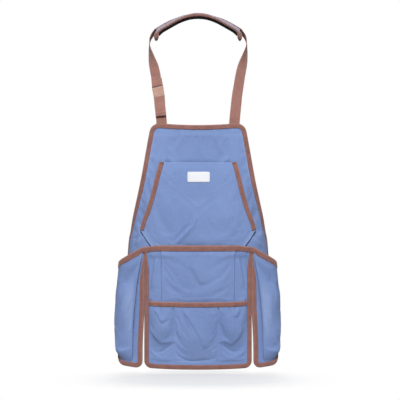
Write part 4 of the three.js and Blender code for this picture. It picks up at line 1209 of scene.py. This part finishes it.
def makeWaistBinding():
    steps = np.linspace(0, 7, 110)
    s = np.linspace(-centreEdge, centreEdge, 120)

    def line(down, drop):
        z = frontTopEdge(s) - drop
        middle = hang(s, z, frontLevel(s, z) + canvas / 2)
        points = np.concatenate([sidePlace(-1, down, steps)[::-1], middle[1:-1], sidePlace(1, down, steps)])
        return eased(evenly(points, waistTapeMake["fine"]), waistTapeMake["ease"])

    edge, inner = line(0, 0), line(waistTapeMake["sideDrop"], waistTapeMake["drop"])
    inner = readAlong(np.linspace(0, 1, len(edge)), np.linspace(0, 1, len(inner)), inner)
    lap = np.full(len(edge), waistTapeMake["lap"])
    return foldedTape("waistBinding", edge, inner, -canvas / 2, canvas / 2, lap, seed=91)


sidePockets = {side: makeSidePocket(side) for side in (-1, 1)}
sideBindings = {side: makeSideBinding(side) for side in (-1, 1)}
waistBinding = makeWaistBinding()
print("side pockets made")


# neck pad

padMake = {
    "span": 104, "rise": 64, "bend": 80, "drop": 3.3, "half": 27, "slant": 3, "steps": 84,
    "tilt": 8, "twist": 9, "level": 0.75, "droop": 6, "droopFrom": 0.84,
    "foam": 7, "crown": 3, "foamEnd": 0.96, "foamMiddle": 4.0, "foamColumns": 22,
    "cover": 3.4, "coverCrown": 1.2, "coverThin": 1.3, "coverLeast": 2.0, "coverUneven": 0.35,
    "settle": {"swell": 0.012, "weight": 0.0, "push": 0.3, "reach": 1.2},
    "tapeWide": 3, "tapeLow": 5.5, "tapeEase": 2.8, "tapeHigh": 13, "tapeDrop": 1,
    "tapeRoom": 0.8, "tapeWorn": 0.3,
}


# place on the bent pad: t along it from -1 to 1, w across it, n up from its lower face
def padPlace(t, w, n):
    t, w, n = (np.asarray(v, float) for v in np.broadcast_arrays(t, w, n))
    x = t * (padMake["span"] - padMake["slant"] * w / padMake["half"])
    root = np.sqrt(1 + (x / padMake["bend"]) ** 2)
    fall = padMake["rise"] * x / (padMake["bend"] ** 2 * root)
    tangentX, tangentZ = 1 / np.sqrt(1 + fall ** 2), -fall / np.sqrt(1 + fall ** 2)
    roll = np.radians(padMake["tilt"] + padMake["twist"] * smooth(np.abs(t) / padMake["level"]))
    up = np.stack([-tangentZ, 0 * x, tangentX], -1)
    sideways = np.stack([0 * x, np.ones_like(x), 0 * x], -1)
    across = sideways * np.cos(roll)[..., None] + up * np.sin(roll)[..., None]
    normal = up * np.cos(roll)[..., None] - sideways * np.sin(roll)[..., None]
    toEnd = np.maximum(0, (np.abs(t) - padMake["droopFrom"]) / 0.16)
    droop = padMake["droop"] * toEnd ** 2 * (0.5 - 0.5 * w / padMake["half"])
    base = np.stack([x, 0 * x, -padMake["drop"] - padMake["rise"] * (root - 1) - droop], -1)
    return base + across * w[..., None] + normal * n[..., None]


def padCrown(w):
    return padMake["foam"] + padMake["crown"] * (1 - (w / padMake["half"]) ** 2)


def makePadFoam():
    half = padMake["half"]
    under = np.linspace(1, -1, padMake["foamColumns"])
    over = np.linspace(-1, 1, padMake["foamColumns"])
    w = np.concatenate([under * half, over * half])
    n = np.concatenate([1.6 * np.abs(under) ** 6 + 0.5 * np.cos(under * 9), padCrown(over * half)])
    t = np.linspace(-padMake["foamEnd"], padMake["foamEnd"], padMake["steps"])
    ends = 1 - 0.25 * smooth((np.abs(t) - 0.94) / 0.06)
    rings = padPlace(t[:, None], w[None, :], mix(padMake["foamMiddle"], n[None, :], ends[:, None]))
    return sweptPiece("neckPadFoam", rings, blackFoam, rings[..., :2])


def makePadCover():
    half = padMake["half"] - seam
    t, k = np.meshgrid(np.linspace(-1, 1, padMake["steps"]), np.linspace(1, -1, 30), indexing="ij")
    w = k * half
    low = padCrown(w) + seam
    along = t * padMake["span"]
    puff = padMake["cover"] + padMake["coverCrown"] * (1 - k * k)
    puff = puff - padMake["coverThin"] * smooth((np.abs(t) - 0.86) / 0.14)
    puff = puff + padMake["coverUneven"] * unevenness(along, w, 40, 95)
    flat = np.stack([along, w], -1)
    held = np.maximum(smooth((np.abs(k) - 0.86) / 0.1), smooth((np.abs(t) - 0.95) / 0.04))
    top = padPlace(t, w, low + np.maximum(padMake["coverLeast"], puff))
    top = settle("neckPadCover", top, held, **padMake["settle"])
    return clothSheet("neckPadCover", top, padPlace(t, w, low), flat, padCloth)


def makePadBinding():
    t = np.linspace(-1, 1, padMake["steps"])
    endW = np.linspace(-1, 1, 24)[1:-1]
    rimT = np.concatenate([t, np.ones(len(endW)), t[::-1], -np.ones(len(endW))])
    rimW = np.concatenate([-np.ones(len(t)), endW, np.ones(len(t)), -endW])
    atEnd, atSide = np.abs(rimT) >= 1, np.abs(rimW) >= 1
    low = padMake["tapeLow"] + padMake["tapeEase"] * smooth(np.abs(rimT) / 0.6)
    hangs = -0.4 - padMake["tapeDrop"] * smooth((-rimW - 0.1) / 0.8)
    low = mix(low, hangs, smooth((np.abs(rimT) - 0.92) / 0.08))
    high, wide = padMake["tapeHigh"], padMake["tapeWide"]
    section = []
    for angle in np.linspace(-1, 1, 13) * math.pi / 2:
        out = seam + (wide - seam) * math.cos(angle) ** 0.6
        section.append((out, mix(low, high, 0.5 + 0.5 * math.sin(angle))))
    section += [(seam, high - padMake["tapeRoom"]), (seam, low + padMake["tapeRoom"])]
    rings = []
    for out, n in section:
        reach = rimT + np.where(atEnd, np.sign(rimT) * out * 1.6 / padMake["span"], 0)
        across = rimW * padMake["half"] + np.where(atSide, np.sign(rimW) * out, 0)
        rings.append(padPlace(reach, across, n + 0 * rimT))
    rings = np.stack(rings, 1)
    gone = lengthAlong(rings[:, 6])
    flat = np.stack([lengthAcross(rings), np.repeat(gone[:, None], len(section), 1)], -1)
    inside = rings[:, 13:15].mean(1)
    for row in (10, 2):
        out = unit(rings[:, row] - inside)
        tapeStitches.extend(stitchRow(rings[:, row] + out * 0.05, out))
    wearAndHighlight = np.zeros(rings.shape[:2])
    wearAndHighlight[:, 4:9] = padMake["tapeWorn"]
    return sweptPiece("neckPadBinding", rings, brownTape, flat, loop=True, wearAndHighlight=wearAndHighlight)


neckPadFoam = makePadFoam()
neckPadCover = makePadCover()
neckPadBinding = makePadBinding()
print("neck pad made")


# webbing straps and slider

strapMake = {
    "wide": 26.8, "thick": 1.8, "columns": 11, "edge": 0.8, "edgeRound": 0.2, "edgeThin": 0.75, "worn": 0.4,
    "sewnLevel": -3.6, "sewnHeights": [-282, -300, -345, -376],
    # x, y, z, degrees that it faces sideways, degrees of lean, slant of its cut end
    "stations": [
        (109.5, -0.3, -36.5, 90, 20, 0.42), (112, -0.5, -38.5, 90, 17, 0.2), (120, -2, -48.5, 90, 9, 0),
        (124.8, -6, -61.7, 88, 3, 0), (125, -14, -81.7, 80, 0, 0), (119.8, -23, -107.3, 55, 0, 0),
        (112.5, -31, -133, 30, 0, 0), (107.1, -38, -158.4, 22, 0, 0), (103, -44, -183.5, 17, 0, 0),
        (99, -49, -208.1, 13, 0, 0), (96.3, -54, -233, 7, 0, 0), (93.7, -58.5, -257.7, 3, 0, 0),
    ],
    "plate": 22, "slot": 3.6, "bar": 3.6, "side": 1.2, "rounding": 0.7,
    "sliderWide": 29.4, "sliderThick": 2.6, "sliderZ": -196,
    "loopRoom": 0.9, "topLoop": 26, "leave": 46, "bendFrom": 44, "bendTo": 20,
    "tail": 66, "tailHem": 10, "hemLift": 0.9, "tailSwing": 1.5,
}


# point, run, width and normal of the webbing at a share of the strap
def strapFrames(side):
    rows = [list(row) for row in strapMake["stations"]]
    for z in strapMake["sewnHeights"]:
        z = np.array(float(z))
        turn = turnDegrees(z) * (strapAt / flatHalf(z)) ** bodyShape["curl"]
        rows.append([*hang(strapAt, z, strapMake["sewnLevel"]), float(turn), 0, 0])
    rows = np.array(rows)
    rows[:, 0] *= side
    shares = np.arange(len(rows)) / (len(rows) - 1)
    reads = [throughPoints(shares, rows[:, k]) for k in range(6)]

    def read(t):
        t = np.asarray(t, float)
        point = np.stack([reads[k](t) for k in range(3)], -1)
        ahead, behind = np.minimum(t + 0.002, 1), np.maximum(t - 0.002, 0)
        run = unit(np.stack([reads[k](ahead) - reads[k](behind) for k in range(3)], -1))
        facing, lean = np.radians(reads[3](t)), np.radians(reads[4](t)) * -side
        width = np.stack([np.cos(facing), side * np.sin(facing), 0 * facing], -1)
        width = unit(width - run * (width * run).sum(-1, keepdims=True))
        width = width * np.cos(lean)[..., None] + np.cross(run, width) * np.sin(lean)[..., None]
        normal = unit(np.cross(run, width))
        return {"point": point, "run": run, "width": width, "normal": normal, "cut": reads[5](t)}

    return read


def webSection():
    half, thick, count = strapMake["wide"] / 2, strapMake["thick"] / 2, strapMake["columns"]
    face, corner = half - strapMake["edge"], half - strapMake["edgeRound"]
    thin = thick * strapMake["edgeThin"]
    across = np.concatenate([np.linspace(-face, face, count), [corner, half, corner]])
    rise = np.concatenate([np.full(count, thick), [thin, 0, -thin]])
    return np.concatenate([across, -across]), np.concatenate([rise, -rise])


webAcross, webRise = webSection()


# rings of webbing: lift off the strap's line, fall along it, tilt of the section, times its thickness
def webRings(at, side, lift=0.0, fall=0.0, tilt=0.0, thick=1.0, cut=True):
    count = max(len(at["point"]), np.size(lift))
    given = (lift, fall, tilt, thick)
    lift, fall, tilt, thick = (np.broadcast_to(np.asarray(v, float), (count,)) for v in given)
    parts = {key: np.broadcast_to(at[key], (count, 3)) for key in ("point", "run", "width", "normal")}
    slope = parts["normal"] * np.cos(tilt)[:, None] + parts["run"] * np.sin(tilt)[:, None]
    slant = np.broadcast_to(np.asarray(at["cut"] if cut else 0.0, float), (count,)) * side
    rings = parts["point"][:, None] + parts["width"][:, None] * webAcross[None, :, None]
    rings = rings + parts["run"][:, None] * (fall[:, None] + slant[:, None] * webAcross[None, :])[..., None]
    rings = rings + parts["normal"][:, None] * lift[:, None, None]
    return rings + slope[:, None] * (webRise[None, :] * thick[:, None])[..., None]


def webbingPiece(name, rings):
    gone = lengthAlong(rings[:, 5])
    across = webAcross + np.where(webRise < 0, 30, 0)  # the back's weave lies beside the front's
    flat = np.stack([np.repeat(across[None], len(rings), 0), np.repeat(gone[:, None], len(across), 1)], -1)
    wearAndHighlight = strapMake["worn"] * bump((np.abs(webAcross) - strapMake["wide"] / 2) / 0.6)
    wearAndHighlight = np.repeat(wearAndHighlight[None], len(rings), 0)
    return sweptPiece(name, rings, brownWebbing, flat, wearAndHighlight=wearAndHighlight)


rightFrames, leftFrames = strapFrames(1), strapFrames(-1)
neckStrapRight = webbingPiece("neckStrapRight", webRings(rightFrames(np.linspace(0, 1, 150)), 1))
strapShares = np.linspace(0, 1, 4001)
sliderAt = float(strapShares[np.argmax(leftFrames(strapShares)["point"][:, 2] <= strapMake["sliderZ"])])
strapLength = lengthAlong(leftFrames(strapShares)["point"])


# share of the left strap at a distance below the slider
def shareAway(distance):
    gone = np.interp(sliderAt, strapShares, strapLength) + np.asarray(distance, float)
    return np.interp(gone, strapLength, strapShares)


sliderFrame = leftFrames(np.array([sliderAt]))
barMiddle = strapMake["plate"] / 2 + strapMake["slot"] + strapMake["bar"] / 2
webLayer = strapMake["sliderThick"] / 2 + strapMake["loopRoom"] + strapMake["thick"] / 2
loopReach = strapMake["bar"] / 2 + strapMake["loopRoom"] + strapMake["thick"] / 2


# sense 1 comes down in front of the bar and goes up behind it, -1 the other way
def loopRings(bar, sense):
    angle = np.linspace(0, 1, 17) * math.pi
    lift, fall = sense * webLayer * np.cos(angle), bar + sense * loopReach * np.sin(angle)
    return webRings(sliderFrame, -1, lift, fall, angle, cut=False)


# how far the tail swings off the strap below the slider
def tailSwing(fall):
    return strapMake["tailSwing"] * smooth((fall - strapMake["bendTo"]) / 40)


def makeLeftStraps():
    leave, bendFrom, bendTo = strapMake["leave"], strapMake["bendFrom"], strapMake["bendTo"]
    start = webRings(leftFrames(np.linspace(0, float(shareAway(-leave)), 96)), -1)
    near = np.linspace(bendFrom, bendTo, 13)
    bend = webLayer * smooth((bendFrom - near) / (bendFrom - bendTo))
    downward = webRings(leftFrames(shareAway(-near)), -1, bend, cut=False)
    behind = np.linspace(-bendTo, -strapMake["topLoop"] - 8, 8)
    upward = webRings(leftFrames(shareAway(behind)), -1, -webLayer, 0, math.pi, cut=False)
    upper = webbingPiece("neckStrapLeft", np.concatenate([start, downward, loopRings(-barMiddle, 1), upward]))
    low = webRings(leftFrames(np.linspace(1, float(shareAway(leave)), 70)), -1, cut=False)
    climbing = webRings(leftFrames(shareAway(near)), -1, -bend, cut=False)
    tailEnd = strapMake["tail"]
    hemAt = tailEnd - strapMake["tailHem"]
    hem = np.linspace(hemAt + 1.4, tailEnd - 0.6, 6)
    fall = np.concatenate([np.linspace(bendTo, hemAt, 10), [hemAt + 0.6], hem, [tailEnd]])
    hemmed = fall > hemAt + 0.1
    thick = np.where(hemmed, 2.0, 1.0)
    thick[-1] = 1.2
    lift = webLayer + np.where(hemmed, strapMake["hemLift"], 0) + tailSwing(fall)
    tail = webRings(leftFrames(shareAway(fall)), -1, lift, 0, math.pi, thick, cut=False)
    lower = webbingPiece("adjusterStrap", np.concatenate([low, climbing, loopRings(barMiddle, -1), tail]))
    return upper, lower


neckStrapLeft, adjusterStrap = makeLeftStraps()


def makeSlider():
    half = strapMake["plate"] / 2 + strapMake["slot"] + strapMake["bar"]
    cutsX = np.array([-strapMake["sliderWide"] / 2, -strapMake["sliderWide"] / 2 + strapMake["side"]])
    cutsX = np.concatenate([cutsX, -cutsX[::-1]])
    cutsY = np.array([-half, -half + strapMake["bar"], -strapMake["plate"] / 2])
    cutsY = np.concatenate([cutsY, -cutsY[::-1]])
    v, u = np.meshgrid(cutsY, cutsX, indexing="ij")
    keep = np.ones((5, 3), bool)
    keep[1, 1] = keep[3, 1] = False
    at = {key: sliderFrame[key][0] for key in ("point", "run", "width", "normal")}
    middle = at["point"] + at["width"] * u[..., None] + at["run"] * v[..., None]
    out = at["normal"] * strapMake["sliderThick"] / 2
    piece = clothSheet("strapSlider", middle + out, middle - out, np.stack([u, v], -1), tanPlastic, keep)
    rounding = piece.modifiers.new("rounding", "BEVEL")
    rounding.width = strapMake["rounding"] * mm
    rounding.segments = 3
    rounding.limit_method = "ANGLE"
    piece.data.polygons.foreach_set("use_smooth", [False] * len(piece.data.polygons))
    return piece


strapSlider = makeSlider()
print("straps and slider made")


# stitching on the cloth

sewMake = {
    "facingHalf": 104, "topHalf": 86, "veeApart": 0.8, "threadLift": 0.1, "hemThreadLift": 0.05,
    "edgeTop": (144, -551), "edgeFoot": (110, -596),
    "edgeInsets": ((4.5, 3.9), (12, 10.4)),  # of each row, at the top and at the foot
    "middleTop": -512, "middleFoot": -594, "bagTop": -742, "bagFoot": -882,
    "bagTack": {"z": -738.5, "half": 1.9, "tall": 7, "step": 0.9, "pitch": 3.6},
    "mouthTack": {"from": 85, "to": 94, "z": -378.4, "tall": 4.2, "step": 0.8, "pitch": 3.2, "lift": 1.9},
    "endTack": {"s": 118.5, "z": -719.0, "half": 1.9, "tall": 8, "step": 0.9, "pitch": 3.6, "lift": 3.4},
    "strapBox": {"half": 9.5, "top": -318, "foot": -368}, "labelPitch": 2.4, "fine": 2.0,
    "webHalf": 10.5, "webPoints": 12, "webLift": 0.98, "padEnds": (0.075, 0.095), "tailRows": (8.4, 5.8),
}
canvasStitches, darkStitches, whiteStitches = [], [], []


# a row of stitches on a panel, along a line drawn in its flat
def sewOn(rows, line, level, pitch=None):
    line = evenly(line, sewMake["fine"])
    s, z = line[:, 0], line[:, 1]
    rows.extend(stitchRow(hang(s, z, level(s, z)), hangNormal(s, z), pitch))


def bodyFront(s, z):
    return canvas + bodyLift(s, z)


def pocketFront(s, z):
    return bibPocketLevel(s, z) + canvas


def lowerFront(s, z):
    return lowerLevel(s, z) + lowerLift(s, z) + canvas


# seams of the bib and its pocket
def sewBib():
    s = np.linspace(-sewMake["facingHalf"], sewMake["facingHalf"], 90)
    sewOn(canvasStitches, np.stack([s, bodyMake["facingRow"] - topDip(s)], -1), bodyFront)
    half = sewMake["topHalf"]
    for drop in bibPocketMake["topRows"]:
        sewOn(canvasStitches, [(-half, pocketTop - drop), (half, pocketTop - drop)], pocketFront)
    (topS, topZ), (footS, footZ) = bibPocketMake["veeTop"], bibPocketMake["veeFoot"]
    (edgeS, edgeZ), (endS, endZ) = sewMake["edgeTop"], sewMake["edgeFoot"]
    for side in (-1, 1):
        for drop in (0, bibPocketMake["veeGap"] + 1):
            line = [(side * topS, topZ - drop), (side * (footS + sewMake["veeApart"]), footZ - drop)]
            sewOn(canvasStitches, line, pocketFront)
        for topInset, footInset in sewMake["edgeInsets"]:
            line = [(side * (edgeS - topInset), edgeZ), (side * (endS - footInset), endZ)]
            sewOn(canvasStitches, line, pocketFront)
        strapBox(side)
    sewOn(canvasStitches, [(0, sewMake["middleTop"]), (0, sewMake["middleFoot"])], pocketFront)


# seams between the bags of the lower pocket, and the tacks at the pockets' corners
def sewBags():
    tack = sewMake["bagTack"]
    for s in centreMake["lowerSeams"]:
        sewOn(canvasStitches, [(s, sewMake["bagTop"]), (s + 1, sewMake["bagFoot"])], lowerFront)
        for z in tack["z"] - np.arange(0, tack["tall"], tack["step"]):
            sewOn(darkStitches, [(s - tack["half"], z), (s + tack["half"], z)], lowerFront, tack["pitch"])
    tack = sewMake["mouthTack"]
    for side in (-1, 1):
        for z in tack["z"] - np.arange(0, tack["tall"], tack["step"]):
            line = [(side * tack["from"], z), (side * tack["to"], z)]
            sewOn(darkStitches, line, lambda s, z: pocketFront(s, z) + tack["lift"], tack["pitch"])
    end = sewMake["endTack"]
    for side in (-1, 1):
        s, z = np.full(4, side * end["s"]), np.full(4, end["z"])
        level, normals = frontLevel(s, z) + end["lift"], hangNormal(s, z)
        for drop in np.arange(0, end["tall"], end["step"]):
            line = hang(s + np.linspace(-end["half"], end["half"], 4), end["z"] - drop, level)
            darkStitches.extend(stitchRow(line, normals, end["pitch"]))


def labelFront(s, z):
    return pocketFront(s, z) + seam + labelMake["thick"] + sewMake["threadLift"]


def sewLabel():
    halfWide, halfTall = (labelMake[key] / 2 - labelMake["stitchIn"] for key in ("wide", "tall"))
    turns = ((-1, 1), (1, 1), (1, -1), (-1, -1))
    corners = [(labelMake["x"] + u * halfWide, labelMake["z"] + v * halfTall) for u, v in turns]
    for a, b in zip(corners, corners[1:] + corners[:1]):
        sewOn(whiteStitches, [a, b], labelFront, sewMake["labelPitch"])


# box and cross that hold each strap behind the bib
def strapBox(side):
    box = sewMake["strapBox"]
    left, right = side * (strapAt - box["half"]), side * (strapAt + box["half"])
    a, b, c, d = (left, box["top"]), (right, box["top"]), (right, box["foot"]), (left, box["foot"])
    for line in ([a, b], [b, c], [c, d], [d, a], [a, c], [b, d]):
        sewOn(canvasStitches, line, bodyFront)
        points = evenly(line, sewMake["fine"])
        s, z = points[:, 0], points[:, 1]
        behind = hang(s, z, strapMake["sewnLevel"] - sewMake["webLift"])
        tapeStitches.extend(stitchRow(behind, -hangNormal(s, z)))


# one row across the webbing, lifted off its middle towards the front or the back
def sewAcross(at, lift, sign=1):
    across = np.linspace(-sewMake["webHalf"], sewMake["webHalf"], sewMake["webPoints"])[:, None]
    line = at["point"] + at["width"] * across + at["normal"] * sign * lift
    tapeStitches.extend(stitchRow(line, np.repeat(at["normal"][None] * sign, sewMake["webPoints"], 0)))


# rows across the webbing: at the pad's ends and along the tail's hem
def sewWebbing():
    for frames in (rightFrames, leftFrames):
        for share in sewMake["padEnds"]:
            for sign in (-1, 1):
                sewAcross(frames(np.array(share)), sewMake["webLift"], sign)
    for up in sewMake["tailRows"]:
        fall = strapMake["tail"] - up
        lift = webLayer + strapMake["hemLift"] + float(tailSwing(fall)) + strapMake["thick"]
        sewAcross(leftFrames(shareAway(fall)), lift + sewMake["hemThreadLift"])


sewBib()
sewBags()
sewLabel()
sewWebbing()
canvasStitching = threadPiece("canvasStitching", canvasStitches, blueThread)
tapeStitching = threadPiece("tapeStitching", tapeStitches, brownThread)
cornerTacks = threadPiece("cornerTacks", darkStitches, darkThread)
labelStitching = threadPiece("labelStitching", whiteStitches, whiteThread)
print("stitching made,", sum(len(rows) for rows in canvasStitches + tapeStitches), "stitches")


# what stands for which node, and what it is made of

pieceList = [
    (apronBody, "apron_body", "canvas"), (bibPocket, "bib_pocket", "canvas"),
    (frontPocket, "front_pocket", "canvas"), (lowerPocket, "lower_pocket", "canvas"),
    (sidePockets[-1], "side_pocket_left", "canvas"), (sidePockets[1], "side_pocket_right", "canvas"),
    (bibBinding, "bib_binding", "tape"), (bibPocketBindings[-1], "bib_pocket_binding_left", "tape"),
    (bibPocketBindings[1], "bib_pocket_binding_right", "tape"), (waistBinding, "waist_binding", "tape"),
    (lowerPocketBinding, "lower_pocket_binding", "tape"), (centreBinding, "centre_binding", "tape"),
    (sideBindings[-1], "side_binding_left", "tape"), (sideBindings[1], "side_binding_right", "tape"),
    (label, "label", "label"), (neckPadCover, "neck_pad_cover", "pad_cover"),
    (neckPadFoam, "neck_pad_foam", "pad_foam"), (neckPadBinding, "neck_pad_binding", "tape"),
    (neckStrapRight, "neck_strap_right", "webbing"), (neckStrapLeft, "neck_strap_left", "webbing"),
    (adjusterStrap, "adjuster_strap", "webbing"), (strapSlider, "strap_slider", "slider"),
]
threadList = [
    (canvasStitching, "canvas"), (tapeStitching, "tape"), (cornerTacks, "canvas"), (labelStitching, "label"),
]
for piece, node, finishSlot in pieceList:
    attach(piece, "root")
    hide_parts(node)
for piece, finishSlot in threadList:
    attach(piece, "root")


# floor, light and camera

stageMake = {
    "floor": -0.903, "size": 14.0,
    "camera": (0.005, -2.690, -0.472), "lens": 93.6, "sensor": 36, "farthest": 50,
    "suns": [
        {"name": "keyLight", "from": (-0.03, -1.0, 0.85), "power": 3.8, "spread": 11},
        {"name": "backLight", "from": (0.0, 0.62, 1.9), "power": 1.15, "spread": 44},
        {"name": "rearFill", "from": (0.0, 1.0, 0.42), "power": 0.8, "spread": 36},
    ],
    "ambient": 0.26, "paper": 0.6, "glow": 0.09,
    # the floor turns white outside an ellipse round the shadow
    "fadeFrom": 0.2, "fadeTo": 0.42, "shadeMiddle": (0, 0.57, 0), "shadeScale": (1, 2.95, 1),
}


def makeFloorFinish():
    finish, tree, shader = newFinish("paleFloor")
    inputs = {0: placeOn(tree), 1: stageMake["shadeScale"], 2: stageMake["shadeMiddle"]}
    drawn = addNode(tree, "ShaderNodeVectorMath", inputs, operation="MULTIPLY_ADD").outputs["Vector"]
    away = addNode(tree, "ShaderNodeVectorMath", {0: drawn}, operation="LENGTH").outputs["Value"]
    far = spread(tree, away, stageMake["fadeFrom"], stageMake["fadeTo"])
    paper = (stageMake["paper"],) * 3 + (1,)
    tree.links.new(tint(tree, far, paper, (0, 0, 0, 1)), shader.inputs["Base Color"])
    tree.links.new(spread(tree, far, 0, 1, stageMake["glow"], 1.0), shader.inputs["Emission Strength"])
    shader.inputs["Emission Color"].default_value = (1, 1, 1, 1)
    shader.inputs["Roughness"].default_value = 1.0
    shader.inputs["Specular IOR Level"].default_value = 0.0
    return finish


def makeStage():
    size = stageMake["size"]
    corners = [(-size, -size, 0), (size, -size, 0), (size, size, 0), (-size, size, 0)]
    mesh = bpy.data.meshes.new("paleFloor")
    mesh.from_pydata(corners, [], [(0, 1, 2, 3)])
    mesh.materials.append(makeFloorFinish())
    floor = bpy.data.objects.new("paleFloor", mesh)
    floor.location.z = stageMake["floor"]
    floor.visible_diffuse = False
    bpy.context.scene.collection.objects.link(floor)
    for row in stageMake["suns"]:
        lamp = bpy.data.lights.new(row["name"], "SUN")
        lamp.energy = row["power"]
        lamp.angle = math.radians(row["spread"])
        sun = bpy.data.objects.new(row["name"], lamp)
        sun.rotation_euler = (-Vector(row["from"])).to_track_quat("-Z", "Y").to_euler()
        bpy.context.scene.collection.objects.link(sun)
    world = bpy.data.worlds.new("studio")
    world.use_nodes = True
    tree = world.node_tree
    background = tree.nodes["Background"]
    seen = addNode(tree, "ShaderNodeLightPath").outputs["Is Camera Ray"]
    background.inputs["Color"].default_value = (1, 1, 1, 1)
    tree.links.new(spread(tree, seen, 0, 1, stageMake["ambient"], 1.0), background.inputs["Strength"])
    bpy.context.scene.world = world
    view = bpy.data.cameras.new("photoCamera")
    view.lens = stageMake["lens"]
    view.sensor_width = stageMake["sensor"]
    view.clip_end = stageMake["farthest"]
    camera = bpy.data.objects.new("photoCamera", view)
    camera.location = stageMake["camera"]
    camera.rotation_euler = (math.radians(90), 0, 0)
    bpy.context.scene.collection.objects.link(camera)
    bpy.context.scene.camera = camera
    bpy.context.scene.view_settings.view_transform = "Standard"
    bpy.context.scene.view_settings.look = "None"


makeStage()
print("stage made")
